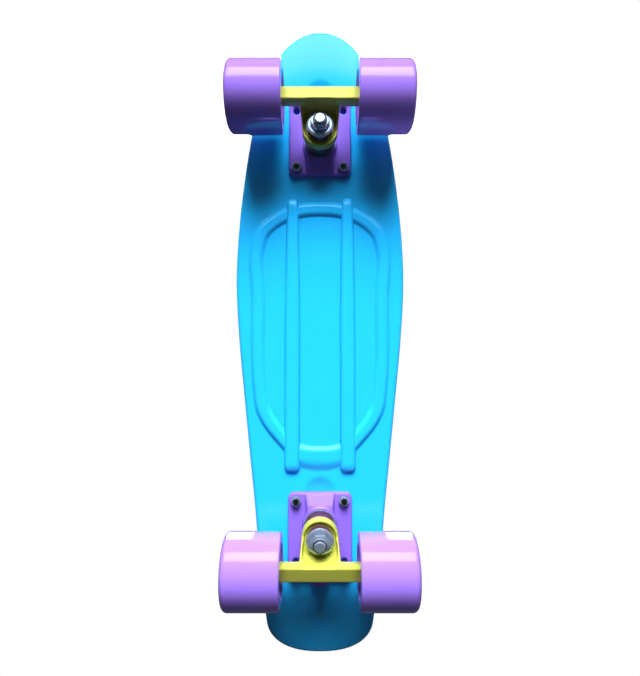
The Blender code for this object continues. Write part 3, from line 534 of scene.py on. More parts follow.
def deck_shell(settings):
    """The deck: rings of its outline, moved inwards and up by the profile of its edge, rim, groove and
    floor, with strips across its two faces. The lower face has columns that carry the two dishes, each
    of depth x (1 - r^2)."""
    outline, inward = deck_outline()
    radius, rim, floor = settings.edge_radius, settings.rim_width, settings.floor_depth
    arc = np.linspace(-math.pi / 2, 0, 7)
    low = np.stack([radius * (1 - np.cos(arc)), DECK_BOTTOM + radius * (1 + np.sin(arc))], -1)
    high = np.stack([low[::-1, 0], DECK_TOP + DECK_BOTTOM - low[::-1, 1]], -1)
    step = rounded([(radius, 0, 0), (rim - 0.2, -0.1, 0.6), (rim + 0.5, -0.75 * floor, 0.4),
                    (settings.bead_inset, -floor, 1.2),
                    (settings.bead_inset + settings.bead_width, -floor, 0)], 4, closed=False)
    profile = np.concatenate([low, high, step[1:] + [0, DECK_TOP]])
    rings = outline[None] + inward[None] * profile[:, None, :1]
    height = profile[:, 1][:, None] + rise(rings[:, :, 1])
    points = np.concatenate([rings, height[:, :, None]], -1).reshape(-1, 3)
    count = len(outline)
    right = np.arange(DECK_STATIONS + 1)[:, None]
    left = (count - right) % count

    edge = points[:DECK_STATIONS + 1]
    x = np.minimum(DISH_RADIUS, edge[:, :1] * 0.8) * np.linspace(1, -1, DISH_COLUMNS)
    y = np.broadcast_to(edge[:, 1:2], x.shape)
    dish = sum(np.clip(1 - (x ** 2 + (y - place) ** 2) / DISH_RADIUS ** 2, 0, 1)
               for place in DISH_PLACES)
    inner = np.stack([x, y, edge[:, 2:] + DISH_DEPTH * dish], -1).reshape(-1, 3)
    lower = np.concatenate([right, len(points) + np.arange(x.size).reshape(x.shape), left], 1)
    upper = np.concatenate([left, right], 1) + (len(profile) - 1) * count
    quads = [skin(len(profile), count, False, True)]
    for grid in (upper, lower):
        corner = (grid[:-1, 1:], grid[1:, 1:], grid[1:, :-1], grid[:-1, :-1])
        quads.append(np.stack(corner, -1).reshape(-1, 4))
    return outward(np.concatenate([points, inner]), np.concatenate(quads))


def ridge_section(width, height, sink, steps=7):
    """A round-topped ridge: height x (1 - s^2)^0.6 across, on a foot sunk below its ground."""
    place = np.sin(np.linspace(-math.pi / 2, math.pi / 2, steps))
    top = np.stack([place * width / 2, height * (1 - place ** 2) ** 0.6], -1)
    return np.concatenate([top, [[width / 2, -sink], [-width / 2, -sink]]])


def along_ground(path, ground, section, loop=False):
    """A section swept along a plan path that follows the deck's rise above the ground height."""
    y = path[:, 1]
    points = np.concatenate([path, (ground + rise(y))[:, None]], -1)
    run = heading(points) if loop else np.gradient(points, axis=0)
    across = np.stack([run[:, 1], -run[:, 0], np.zeros(len(y))], -1)
    across /= np.linalg.norm(across, axis=1)[:, None]
    up = np.cross(across, run)
    up /= np.linalg.norm(up, axis=1)[:, None]
    up *= np.sign(up[:, 2:])
    return swept(points, across, up, section, loop)


TREAD_START = 6.8                 # where the diamonds cross on the board's middle line
TREAD_FINE = 0.25                 # spacing of the places where the tread is worked out
TAIL_TREAD_Y = -195               # from here to the tail the diamonds grow longer
TAIL_TREAD_LENGTH = 35
TREAD_SINK = 0.5                  # how far the tread and the ridges reach into the deck
DISC_Y = 14
DISC_LIFT = 0.25                  # how far the round field stands above the tread's floor


def tread_count(y, settings):
    """How many diamonds lie between the start and y: the sum of 1 / pitch."""
    fine = np.arange(-DECK_LENGTH / 2, DECK_LENGTH / 2, TREAD_FINE)
    growth = np.clip((TAIL_TREAD_Y - fine) / TAIL_TREAD_LENGTH, 0, 1)
    pitch = settings.pitch_along + growth * (settings.tail_pitch - settings.pitch_along)
    total = np.cumsum(1 / pitch) * TREAD_FINE
    return np.interp(y, fine, total) - np.interp(TREAD_START, fine, total)


def tread_ridges(settings):
    """Two mirrored families of straight ridges, x = pitch x (n - count(y)), kept inside the bead and
    outside the disc."""
    fine = np.arange(-DECK_LENGTH / 2, DECK_LENGTH / 2, TREAD_FINE)
    count = tread_count(fine, settings)
    outline, inward = deck_outline()
    right = (outline + inward * (settings.bead_inset + settings.bead_width * 0.4))[:DECK_STATIONS + 1]
    limit = np.interp(fine, right[:, 1], right[:, 0], left=-1, right=-1)
    reach = DECK_WIDTH / 2 / settings.pitch_across
    section = ridge_section(settings.tread_width, settings.floor_depth * 0.85, TREAD_SINK)
    strips = []
    for number in range(math.ceil(count.min() - reach), math.floor(count.max() + reach) + 1):
        x = settings.pitch_across * (number - count)
        shown = (np.abs(x) < limit) & (np.hypot(x, fine - DISC_Y) > settings.disc_radius)
        edges = np.flatnonzero(np.diff(np.pad(shown.astype(int), 1)))
        for start, end in zip(edges[::2], edges[1::2]):
            if end - start < 6:
                continue
            pick = np.linspace(start, end - 1, max(2, (end - start) // 16) + 1).astype(int)
            for side in (1, -1):
                path = np.stack([side * x[pick], fine[pick]], -1)
                strips.append(along_ground(path, DECK_TOP - settings.floor_depth, section))
    return gather(strips)


def tread_bead(settings):
    """A thin ridge that follows the deck's outline at the bead's inset."""
    outline, inward = deck_outline()
    path = outline + inward * settings.bead_inset
    section = ridge_section(settings.bead_width, settings.floor_depth * 0.95, TREAD_SINK, 9)
    return along_ground(path, DECK_TOP - settings.floor_depth, section, loop=True)


def tread_disc(settings):
    """A flat round field a little above the floor, inside a thin ring."""
    radius, crest, half = settings.disc_radius, settings.floor_depth * 0.95, settings.tread_width / 2
    disc = lathed([(0, DISC_LIFT, 0), (radius - half, DISC_LIFT, 0.4), (radius - half * 0.4, crest, 0.5),
                   (radius + half * 0.4, crest, 0.5), (radius + half, -TREAD_SINK, 0),
                   (0, -TREAD_SINK, 0)], 4, 96, closed=False)
    return moved(disc, 0, DISC_Y, DECK_TOP - settings.floor_depth)


def bolt_boss(settings):
    """A low round boss with a wide foot round one bolt's head, open in its middle."""
    inner = size("front_deck_bolt_1")[0] / 2 + 0.15
    floor = settings.floor_depth
    return lathed([(inner, -3, 0), (inner, -0.05, 0.25), (6.4, -0.05, 0.5), (6.9, -0.6 * floor, 0.2),
                   (7.8, -0.62 * floor, 0.3), (8.1, -1.6 * floor, 0), (6, -3, 0)], 4, 48)


RIB_X = 24.2
RIB_Y = 4.9
RIB_LENGTH = 241.5
RIB_TAPER = 120                   # the stretch in which a rib narrows to its nose end
RIB_NARROW = 0.26                 # the share of its width that it loses there
RIB_CORNER = 5.5                  # the rounding of its ends
RIB_SINK = 0.4                    # how far it reaches into the deck
RIB_STATIONS = 161
LOOP_LINE = np.array([(0, 115.6), (18.5, 114), (33.8, 108.5), (51.5, 93), (55.4, 80), (54.6, 39),
                      (52.6, -42), (50, -60), (33, -85.5), (21, -96), (0, -99.5)])
LOOP_STEPS = 12
LOOP_FADE_X = 22                  # between the ribs' ends at the tail the loop's outer side runs out flat
LOOP_FADE = 1.2
LOOP_FOOT = 1.12                  # how far its foot spreads, as a share of its width


def deck_rib(settings, side):
    """A long flat-topped rib: a superellipse section carried along Y, whose width closes at both ends
    by a superellipse and narrows towards the nose, and whose height rises from the ends by a circle."""
    width, height = settings.rib_width / 2, settings.rib_height
    half = RIB_LENGTH / 2
    along = half * np.sin(np.linspace(-math.pi / 2, math.pi / 2, RIB_STATIONS))
    to_end = half - np.abs(along)
    near = np.clip(1 - to_end / RIB_CORNER, 0, 1)
    closing = (1 - near ** 2.3) ** (1 / 2.3)
    narrow = 1 - RIB_NARROW * np.clip(1 - (half - along) / RIB_TAPER, 0, 1) ** 1.5
    lift = np.sqrt(1 - np.clip(1 - to_end / (2 * height), 0, 1) ** 2)
    place = np.sin(np.linspace(-math.pi / 2, math.pi / 2, 41))
    crest = (1 - np.abs(place) ** 5) ** (1 / 1.7)
    x = (width * closing * narrow)[:, None] * place
    z = DECK_BOTTOM + RIB_SINK - (RIB_SINK + height) * lift[:, None] * crest
    y = np.broadcast_to(along[:, None], x.shape)
    points = np.stack([x + side * RIB_X, y + RIB_Y, z], -1)
    lid = points.copy()
    lid[..., 2] = DECK_BOTTOM + RIB_SINK
    points = np.concatenate([points, lid[:, ::-1]], 1)
    return outward(points, skin(*points.shape[:2], False, True))


def deck_loop(settings):
    """A ridge loop below the deck: a flat-topped raised-cosine section carried along a closed cubic. Its
    outer side is wider, and so gentler, between the ribs at the tail."""
    line = np.concatenate([LOOP_LINE, (LOOP_LINE * [-1, 1])[-2:0:-1]])
    before, after = np.roll(line, 1, axis=0), np.roll(line, -1, axis=0)
    ahead = np.linalg.norm(after - line, axis=1)[:, None]
    behind = np.roll(ahead, 1, axis=0)
    slope = ((after - line) / ahead * behind + (line - before) / behind * ahead) / (ahead + behind)
    share = np.linspace(0, 1, LOOP_STEPS, endpoint=False)[None, :, None]
    path = hermite(line[:, None], after[:, None], (slope * ahead)[:, None],
                   (np.roll(slope, -1, axis=0) * ahead)[:, None], share).reshape(-1, 2)
    place = np.linspace(-1, 1, 31)
    crest = settings.loop_height * (0.5 + 0.5 * np.cos(math.pi * np.abs(place) ** 2.2))
    crest = np.concatenate([[-TREAD_SINK], crest, [-TREAD_SINK]])
    place = np.concatenate([[-1], place, [1]])
    run = heading(path)
    inward = np.stack([run[:, 1], -run[:, 0]], -1) / np.linalg.norm(run, axis=1)[:, None]
    fade = LOOP_FADE * np.exp(-(path[:, 0] / LOOP_FADE_X) ** 4) * (path[:, 1] < 0)
    reach = settings.loop_width / 2 * LOOP_FOOT * place * (1 + fade[:, None] * (place < 0))
    flat = path[:, None] + inward[:, None] * reach[..., None]
    z = np.broadcast_to(DECK_BOTTOM - crest, reach.shape)
    points = np.concatenate([flat, z[..., None]], -1)
    return outward(points, skin(*reach.shape, True, True))


# ---- truck castings ----
CAST_STEP = 0.55                  # cell size of the casting's surface
CAST_MARGIN = 1.5                 # how far outside the frame node's box the surface is looked for
BASE_FACE = 4.8                   # thickness of the base plate's flange
BASE_CORNER = 5
BOLT_X = 20.6
HOLES_Y = (-30.2, 30.2, 20.4)     # the bolts' rows, and a spare one
HOLE_RADIUS = 2.8
SPINE_TOP = 10.6                  # height of the wedge spine at the bushing seat
RING_RADIUS = 14.8
RING_BORE = 7.75
STEM_RADIUS = 4.75                # the pivot's stem, at its end
# The sides of the hanger's beam from the axle, and of its yoke seen from the board's side.
BEAM_SIDES = [(-5.8, 5), (-6.3, 3), (-6.3, -3.2), (-4.2, -7.1), (7.75, -3), (7.75, 4), (7.2, 7)]
YOKE_SIDES = [(-8.5, -23.8), (-8.5, -32.3), (9.5, -44.6), (15, -44), (15, -30)]


def baseplate_field(x, y, z):
    """Base plate: a rounded plate, a wedge spine, the round bushing seat and the pivot's housing joined
    by fillets, less the pivot socket, the kingpin's hole and the bolt holes."""
    spot = (x, y, z)
    side_x = np.abs(x) - (BASE_WIDTH / 2 - BASE_CORNER)
    side_y = np.abs(y) - (BASE_LENGTH / 2 - BASE_CORNER)
    edge = (np.hypot(np.maximum(side_x, 0), np.maximum(side_y, 0))
            + np.minimum(np.maximum(side_x, side_y), 0) - BASE_CORNER)
    edge = edge - 0.12 * (z + BASE_FACE) * (z < 0)
    body = meet(edge, between(z, -BASE_FACE, 6), 1.6)
    back, seat_y = 0.3 - BASE_LENGTH / 2, KINGPIN_FOOT[1]
    slope = polygon(y, z, [(back, 6), (back, -5.4), (seat_y - 13, -SPINE_TOP), (seat_y - 6, -SPINE_TOP),
                           (30, -8.4), (34, 6)], 1)
    flank = np.abs(x) - (11.2 + 0.3 * (z + 9.3))
    body = join(body, meet(slope, flank, 1.6), 1.2)
    body = join(body, rod(spot, KINGPIN_FOOT, -KINGPIN_AXIS, 14.5, 3, SEAT_AT, 1), 1.5)
    body = join(body, rod(spot, PIVOT_POINT, STEER_AXIS, 10.55, -2.95, 9.75, 1), 3)
    body = meet(body, z + GAP, 0.3)
    body = cut(body, rod(spot, PIVOT_POINT, STEER_AXIS, 7.35, -20, 6.85, 0.3), 0.8)
    for radius, low in ((7.3, -5.5), (KINGPIN_BORE, -30)):
        body = cut(body, rod(spot, KINGPIN_FOOT, KINGPIN_AXIS, radius, low, 10, 0.3), 0.3)
    for hole_y in HOLES_Y:
        body = cut(body, np.hypot(np.abs(x) - BOLT_X, y - hole_y) - HOLE_RADIUS, 0.5)
    return body


def hanger_field(x, y, z):
    """Hanger: a seven-sided beam, a yoke that widens from the ring to the beam, the bushing ring and the
    pivot's stem joined by fillets, less the pocket behind the ring, the ring's bore and the axle's hole."""
    spot = (x, y, z)
    axle_y, axle_z = AXLE_POINT[1:]
    beam = polygon(y - axle_y, z - axle_z, BEAM_SIDES, 1.1)
    beam = meet(beam, np.abs(x) - BEAM_LENGTH / 2, 1)
    yoke = 14.6 + 2.4 * np.clip((y - RING_MIDDLE[1]) / 22, 0, 1)
    arms = meet(polygon(y, z, YOKE_SIDES, 0.8), np.abs(x) - yoke, 1)
    ring = rod(spot, RING_MIDDLE, KINGPIN_AXIS, RING_RADIUS, -4.8, RING_HALF, 1)
    body = join(join(ring, arms, 1), beam, 1.2)
    stem = rod(spot, PIVOT_POINT, STEER_AXIS, lambda t: STEM_RADIUS + np.clip(-t - 5, 0, 4) * 0.68,
               -34, -1, 1)
    ball = np.sqrt(x * x + (y - PIVOT_POINT[1]) ** 2 + (z - PIVOT_POINT[2]) ** 2) - STEM_RADIUS
    body = join(body, join(stem, ball, 0.5), 3)

    # The pocket is a rod round the kingpin, open outboard, which widens away from the deck. A steep plane
    # ends it at the beam, and a sloping one is its floor.
    dy, dz = y - RING_MIDDLE[1], z - RING_MIDDLE[2]
    along = dy * KINGPIN_AXIS[1] + dz * KINGPIN_AXIS[2]
    toward = dy * KINGPIN_AXIS[2] - dz * KINGPIN_AXIS[1]
    width = 12.3 + 1.9 * np.clip((-along - RING_HALF) / 6, 0, 1)
    pocket = meet(np.hypot(x, np.minimum(toward, 0)) - width, along + RING_HALF, 0.8)
    end = ((y - 5.0) * 17.4 + (z + 32.6) * 5.4) / math.hypot(17.4, 5.4)
    floor = (z + 30.5 + (y + 2) * 0.35) / math.hypot(1, 0.35)
    body = cut(body, meet(meet(pocket, end, 4.5), floor, 3), 0.4)
    body = cut(body, rod(spot, RING_MIDDLE, KINGPIN_AXIS, 15.8, RING_HALF, 30, 0.3), 0.5)
    body = cut(body, rod(spot, RING_MIDDLE, KINGPIN_AXIS, RING_BORE, -10, 10, 0.3), 0.8)
    return cut(body, np.hypot(y - axle_y, z - axle_z) - AXLE_RADIUS - 0.15, 0.4)


def casting(own_node, field):
    """The surface of a truck's casting, looked for in the box of the front truck's own node."""
    low, high = (corner - [0, TRUCK_MIDDLE["front"], DECK_BOTTOM] for corner in corners(own_node))
    return net(field, low - CAST_MARGIN, high + CAST_MARGIN, CAST_STEP)


# ---- small turned and milled pieces ----
THREAD_DEPTH = 0.28
RACES = ((9.4, 11), (4.3, 5.9))   # inner and outer radius of a bearing's two rings


def hexagon_radius(sides, flats):
    """Radius of a hexagon at each of the angles round it, by its width across flats."""
    angle = TURN * np.arange(sides) / sides
    return flats / 2 / np.cos((angle % (TURN / 6)) - TURN / 12)


def lock_nut(flats, height, bore, crown):
    """A chamfered hexagon nut on z = 0 with a round collar, its crown: for each angle round it, the
    chamfer's cone meets the flat at a height worked out from the hexagon's radius."""
    sides = 72
    flat = hexagon_radius(sides, flats)
    disc, collar, inner, bevel = flats / 2 * 0.97, flats / 2 * 0.84, bore / 2, 0.4
    drop = (flat - disc) * math.tan(math.radians(30))
    shoulder = height - crown
    top = rounded([(collar, shoulder, 0), (collar, height, crown * 0.45), (inner + bevel, height, 0)],
                  5, closed=False)
    rows = [(inner, bevel), (inner + bevel, 0), (disc, 0), (flat, drop), (flat, shoulder - drop),
            (disc, shoulder), *top, (inner, height - bevel)]
    return turned(rows, sides)


def threaded_rod(radius, high, thread_low, pitch, low=0.0):
    """A rod on Z with rings of thread from thread_low up to its chamfered top end."""
    turns = max(1, int((high - thread_low - 1) / pitch))
    thread = [(radius - THREAD_DEPTH * (k % 2), thread_low + k * pitch / 2) for k in range(turns * 2 + 1)]
    profile = [(0, low), (radius - 0.3, low), (radius, low + 0.3), *thread, (radius - 0.9, high), (0, high)]
    return turned(profile, 48, closed=False)


def kingpin_bolt():
    """Kingpin on Z, away from the deck: a hexagon head hidden in the plate, shank, thread and end."""
    head = lathed([(0, 2, 0), (6.9, 2, 0.4), (6.9, 5.1, 0.4), (0, 5.1, 0)], 3, 6, closed=False)
    return gather([head, threaded_rod(4.75, KINGPIN_END_AT, KINGPIN_NUT_AT - 1, 1.0, low=4.5)])


def cup_washer(bushing_radius):
    """A pressed cup washer: flat back at z = 0, and a lip rolled round the bushing towards +Z."""
    lip, outer, thick = bushing_radius - 0.7, bushing_radius + 0.84, CUP_THICKNESS
    return lathed([(KINGPIN_BORE, 0, 0.2), (outer - 1.8, 0, 1.2), (outer, thick * 0.75, 0.5),
                   (outer - 0.3, thick, 0.2), (lip + 0.2, thick, 0.3), (lip - 0.5, 0.75, 0.4),
                   (KINGPIN_BORE, 0.75, 0.2)], 5, 72)


def bushing(radius, height, narrow):
    """A urethane bushing from z = 0: a waisted cone with rounded rims and a bore."""
    return lathed([(KINGPIN_BORE, 0.05, 0.5), (radius - 0.4, 0.05, 0.9), (radius, height * 0.3, 3),
                   (radius - narrow, height - 0.05, 0.9), (KINGPIN_BORE, height - 0.05, 0.5)], 6, 72)


def kingpin_nut_ring():
    """The nylon ring in a kingpin's lock nut, from z = 0."""
    return lathed([(5.0, 0, 0.2), (5.7, 0, 0.2), (5.7, 1.6, 0.3), (5.0, 1.6, 0.3)], 3, 48)


def pivot_cup():
    """The nylon cup in the base plate's pivot socket, on Z from its open rim to its floor."""
    return lathed([(0, 6.55, 0), (7.05, 6.55, 0.8), (7.05, -2.95, 0.3), (5.05, -2.95, 0.5),
                   (5.05, 5.05, 2), (0, 5.05, 0)], 4, 48, closed=False)


def plain_washer(outer, inner, height, edge=0.2, sides=48):
    """A flat washer from z = 0 with softened edges."""
    edge = min(edge, height * 0.3)
    return lathed([(inner, 0, edge), (outer, 0, edge), (outer, height, edge), (inner, height, edge)],
                  3, sides)


def wheel_tyre():
    """Cast wheel on Z, its middle at z = 0 and its outer face towards +Z: rounded lips, a shallow dish
    round each bearing seat and the ledge between the bearings."""
    half, seat, ledge = WHEEL_WIDTH / 2, 11.3, 8.5
    middle_at = WHEEL_OUTER - half
    seat_in, ledge_in = (INNER_BEARING_AT + step - middle_at for step in (-GAP, BEARING_WIDTH + GAP))
    ledge_out, seat_out = (OUTER_BEARING_AT + step - middle_at for step in (-GAP, BEARING_WIDTH + GAP))
    return lathed([
        (20.5, half - 0.05, 1.2), (24.5, half - 0.05, 2), (WHEEL_RADIUS, half - 1, 4.5),
        (WHEEL_RADIUS, -half, 1.6), (22, -half, 1.4), (19.5, 1.6 - half, 1.5),
        (seat + 2.2, seat_in - 0.3, 0.8), (seat + 1.6, seat_in, 0), (seat, seat_in, 0.3),
        (seat, ledge_in, 0), (ledge, ledge_in, 0.4), (ledge, ledge_out, 0.4), (seat, ledge_out, 0),
        (seat, seat_out, 0.3), (seat + 1.6, seat_out, 0), (seat + 2.2, seat_out + 0.3, 0.8),
        (19, half - 1.6, 2)], 8, 128)


def bearing_races():
    """Bearing on Z from z = 0: the outer and the inner race as two rings."""
    return gather([plain_washer(outer, inner, BEARING_WIDTH, 0.4, 64) for inner, outer in RACES])


def bearing_shields():
    """The two pressed shields between a bearing's races, each dished towards the balls."""
    profile = [(6.0, 0.5, 0.1), (7.2, 0.3, 0.5), (9.3, 0, 0.1), (9.3, 0.5, 0.1), (7.2, 0.9, 0.5),
               (6.0, 1.1, 0.1)]
    return gather([lathed([(r, low + turn * z, corner) for r, z, corner in profile], 3, 64)
                   for low, turn in ((0.35, 1), (BEARING_WIDTH - 0.35, -1))])


def deck_bolt():
    """Countersunk bolt hanging from z = 0: a hexagon socket in a flat head, a cone and a threaded end."""
    sides = 48
    width, _, depth = size("front_deck_bolt_1")
    head, socket = width / 2, hexagon_radius(sides, 3.3)
    rows = [(0, -1.9), (socket * 0.96, -1.8), (socket, -0.15), (socket + 0.15, 0), (head - 0.35, 0),
            (head, -0.2), (head, -0.45), (2.5, -2.8)]
    half_pitch, shank_end, chamfer = 0.4, 7.6, 0.4
    turns = int((depth - shank_end - chamfer) / half_pitch)
    rows += [(2.5 - 0.2 * (k % 2), -shank_end - k * half_pitch) for k in range(turns)]
    rows += [(2.0, -depth), (0, -depth)]
    return turned(rows, sides, closed=False)


# ---- shader node helpers ----
def feed(tree, target, value):
    """Give an input socket a plain value, or join another node's output to it."""
    if isinstance(value, bpy.types.NodeSocket):
        tree.links.new(value, target)
    else:
        target.default_value = value


def node(tree, kind, place, **values):
    """Add a node at a place on the sheet. Values name its properties, or its inputs with _ for a space,
    and an input takes a plain value or another node's output."""
    made = tree.nodes.new(kind)
    made.location = place
    for name, value in values.items():
        if hasattr(made, name):
            setattr(made, name, value)
        else:
            feed(tree, made.inputs[name.replace("_", " ")], value)
    return made


def new_group(name, inputs, outputs):
    """A shader node group with its number sockets, and the sockets inside it that lead in and out. The
    inputs are given with their defaults."""
    tree = bpy.data.node_groups.new(name, "ShaderNodeTree")
    for socket, default in inputs.items():
        made = tree.interface.new_socket(socket, in_out="INPUT", socket_type="NodeSocketFloat")
        made.default_value = default
    for socket in outputs:
        tree.interface.new_socket(socket, in_out="OUTPUT", socket_type="NodeSocketFloat")
    return (tree, node(tree, "NodeGroupInput", (-900, 0)).outputs,
            node(tree, "NodeGroupOutput", (700, 0)).inputs)


def arithmetic(tree, operation, place, *values):
    """The output of a Math node on numbers or other nodes' outputs."""
    made = node(tree, "ShaderNodeMath", place, operation=operation)
    for target, value in zip(made.inputs, values):
        feed(tree, target, value)
    return made.outputs[0]


def here(tree, place):
    """The output that gives a surface's place on its object."""
    return node(tree, "ShaderNodeTexCoord", place).outputs["Object"]


def grain_group():
    """Moulded or cast skin: fine noise over a coarser one, as a height and a soft mask."""
    found = bpy.data.node_groups.get("Surface Grain")
    if found:
        return found
    tree, start, end = new_group("Surface Grain", {"Grain Size": 900, "Wave Size": 60, "Grain Share": 0.5},
                                 ("Height", "Mask"))
    place = here(tree, (-900, -250))
    fine = node(tree, "ShaderNodeTexNoise", (-500, 150), Vector=place, Scale=start["Grain Size"],
                Detail=3, Roughness=0.6)
    wave = node(tree, "ShaderNodeTexNoise", (-500, -200), Vector=place, Scale=start["Wave Size"],
                Detail=2, Roughness=0.5).outputs["Fac"]
    grain = arithmetic(tree, "MULTIPLY", (-250, 150), fine.outputs["Fac"], start["Grain Share"])
    feed(tree, end["Height"], arithmetic(tree, "ADD", (0, 100), grain, wave))
    feed(tree, end["Mask"], wave)
    return tree


def scuff_group():
    """Handling marks: thin stretched scratches and soft smudges as a mask from 0 to 1."""
    found = bpy.data.node_groups.get("Handling Marks")
    if found:
        return found
    tree, start, end = new_group("Handling Marks", {"Scale": 40, "Amount": 0.5}, ("Marks", "Smudge"))
    place = here(tree, (-1100, -250))
    masks = []
    for angle, down in ((0.5, 250), (-0.9, -50)):
        turn = node(tree, "ShaderNodeMapping", (-800, down), Vector=place, Rotation=(0, 0, angle),
                    Scale=(1, 14, 3))
        noise = node(tree, "ShaderNodeTexNoise", (-550, down), Vector=turn.outputs["Vector"],
                     Scale=start["Scale"], Detail=2)
        thin = node(tree, "ShaderNodeMapRange", (-300, down), Value=noise.outputs["Fac"], From_Min=0.66,
                    From_Max=0.74)
        masks.append(thin.outputs["Result"])
    both = arithmetic(tree, "MAXIMUM", (0, 100), *masks)
    smudge = node(tree, "ShaderNodeTexNoise", (-300, -400), Vector=place, Scale=18, Detail=4)
    feed(tree, end["Marks"], arithmetic(tree, "MULTIPLY", (250, 100), both, start["Amount"]))
    feed(tree, end["Smudge"], smudge.outputs["Fac"])
    return tree


def wear_group():
    """Edge wear from the surface's own sharpness, broken up by noise, as a mask from 0 to 1."""
    found = bpy.data.node_groups.get("Edge Wear")
    if found:
        return found
    tree, start, end = new_group("Edge Wear", {"Start": 0.53, "Strength": 6}, ("Wear",))
    sharpness = node(tree, "ShaderNodeNewGeometry", (-900, 200)).outputs["Pointiness"]
    noise = node(tree, "ShaderNodeTexNoise", (-650, -200), Vector=here(tree, (-900, -200)), Scale=220,
                 Detail=3)
    over = arithmetic(tree, "SUBTRACT", (-600, 200), sharpness, start["Start"])
    strong = arithmetic(tree, "MULTIPLY", (-350, 200), over, start["Strength"])
    broken = arithmetic(tree, "MULTIPLY", (-100, 100), strong, noise.outputs["Fac"])
    feed(tree, end["Wear"], node(tree, "ShaderNodeClamp", (150, 100), Value=broken).outputs["Result"])
    return tree


def tint(tree, place, mask, *colours):
    """Mix two colours by a mask. Each is a plain colour or another node's output."""
    mix = node(tree, "ShaderNodeMix", place, data_type="RGBA", Factor=mask)
    for target, value in zip((socket for socket in mix.inputs if socket.type == "RGBA"), colours):
        feed(tree, target, value)
    return next(socket for socket in mix.outputs if socket.type == "RGBA")


def scaled(base, share):
    """A colour made lighter or darker, with full alpha."""
    return (*(min(1.0, channel * share) for channel in base), 1)


# ---- finishes ----
# Each finish: the record's slot, the name of its colour's setting or the colour itself, roughness from
# and to, grain size, bump depth, and what else surface_material takes.
FINISHES = {
    "Deck Plastic": ("deck_plastic", "deck", 0.12, 0.2, 1100, 0.005, dict(shade=0.97, marks=0.3)),
    "Plate Paint": ("truck_purple", "plate", 0.34, 0.5, 1400, 0.02, dict(shade=0.95, marks=0.5, wear=1.5)),
    "Hanger Paint": ("truck_yellow", "hanger", 0.30, 0.46, 1300, 0.02,
                     dict(shade=0.95, marks=0.5, wear=1.35)),
    "Wheel Urethane": ("wheel_urethane", "wheel", 0.1, 0.16, 500, 0.002,
                       dict(shade=0.98, marks=0.35, coat=0.8, coat_roughness=0.03)),
    "Bushing Urethane": ("bushing_urethane", "bushing", 0.3, 0.45, 800, 0.01,
                         dict(shade=0.85, coat=0.2, coat_roughness=0.2)),
    "Zinc Steel": ("zinc_steel", "steel", 0.18, 0.3, 900, 0.003,
                   dict(metallic=0.75, marks=0.8, marks_scale=160)),
    "Bearing Steel": ("bearing_steel", (0.62, 0.62, 0.64), 0.14, 0.26, 1500, 0.004,
                      dict(metallic=1, shade=0.92, marks=0.6, marks_scale=200)),
    "Shield Steel": ("bearing_steel", (0.42, 0.43, 0.46), 0.32, 0.48, 1500, 0.01,
                     dict(metallic=1, marks=0.5, marks_scale=200)),
    "Black Steel": ("black_steel", (0.012, 0.012, 0.015), 0.3, 0.5, 1200, 0.01,
                    dict(metallic=0.6, shade=0.8, marks=0.6, marks_scale=200)),
    "Black Nylon": ("black_nylon", (0.02, 0.02, 0.024), 0.4, 0.6, 900, 0.02, dict(shade=0.8)),
}


def surface_material(name, base, low_rough, high_rough, grain, depth, metallic=0.0, shade=0.9, marks=0.4,
                     marks_scale=40, coat=0.0, coat_roughness=0.05, wear=0.0):
    """A Principled material: its colour drifts by its shade, its roughness follows smudges and scratches,
    its grain is a bump, and its edges wear to a lighter colour where asked. Made once for each name."""
    made = bpy.data.materials.get(name)
    if made:
        return made
    made = bpy.data.materials.new(name)
    made.use_nodes = True
    tree = made.node_tree
    shader = tree.nodes["Principled BSDF"].inputs
    shader["Metallic"].default_value = metallic
    shader["Coat Weight"].default_value = coat
    shader["Coat Roughness"].default_value = coat_roughness
    grained = node(tree, "ShaderNodeGroup", (-800, 200), node_tree=grain_group(), Grain_Size=grain).outputs
    handled = node(tree, "ShaderNodeGroup", (-800, -200), node_tree=scuff_group(), Scale=marks_scale,
                   Amount=marks).outputs
    paint = tint(tree, (-400, 300), grained["Mask"], scaled(base, shade), scaled(base, 2 - shade))
    if wear:
        worn = node(tree, "ShaderNodeGroup", (-800, 500), node_tree=wear_group()).outputs["Wear"]
        paint = tint(tree, (-150, 350), worn, paint, scaled(base, wear))
    rough = node(tree, "ShaderNodeMapRange", (-400, 0), Value=handled["Smudge"], To_Min=low_rough,
                 To_Max=high_rough).outputs["Result"]
    scratched = arithmetic(tree, "MULTIPLY", (-400, -250), handled["Marks"], 0.25)
    bump = node(tree, "ShaderNodeBump", (-150, -300), Strength=1, Distance=depth * MM,
                Height=grained["Height"])
    feed(tree, shader["Base Color"], paint)
    feed(tree, shader["Roughness"], arithmetic(tree, "ADD", (-150, -50), rough, scratched))
    feed(tree, shader["Normal"], bump.outputs["Normal"])
    return made


def finish_material(finish):
    """The material of a finish, whose colour may come from the settings."""
    _, base, *values, others = FINISHES[finish]
    if isinstance(base, str):
        base = getattr(bpy.context.scene.board_finish, base)
    return surface_material(finish, base, *values, **others)


# ---- operators ----
def bolt_places():
    """The truck and number of each deck bolt."""
    return [(truck, number) for truck in TRUCKS for number in range(1, 5)]


def stack_on_axle(truck, pieces, body):
    """Add pieces at both ends of a truck's axle. Each gives its name, surface, distance outwards, finish
    and, where it stands for a frame node, the ending of that node's name."""
    for side, sign in zip(SIDES, (-1, 1)):
        end = f"{truck}_{side}"
        for name, surface, distance, finish, *stands_for in pieces:
            put = in_truck(on_axle(surface, sign * TRUCK_SIGN[truck], distance), truck)
            add_piece(f"{name}_{end}", put, finish, body.format(truck=truck, end=end),
                      [f"{end}_{ending}" for ending in stands_for])


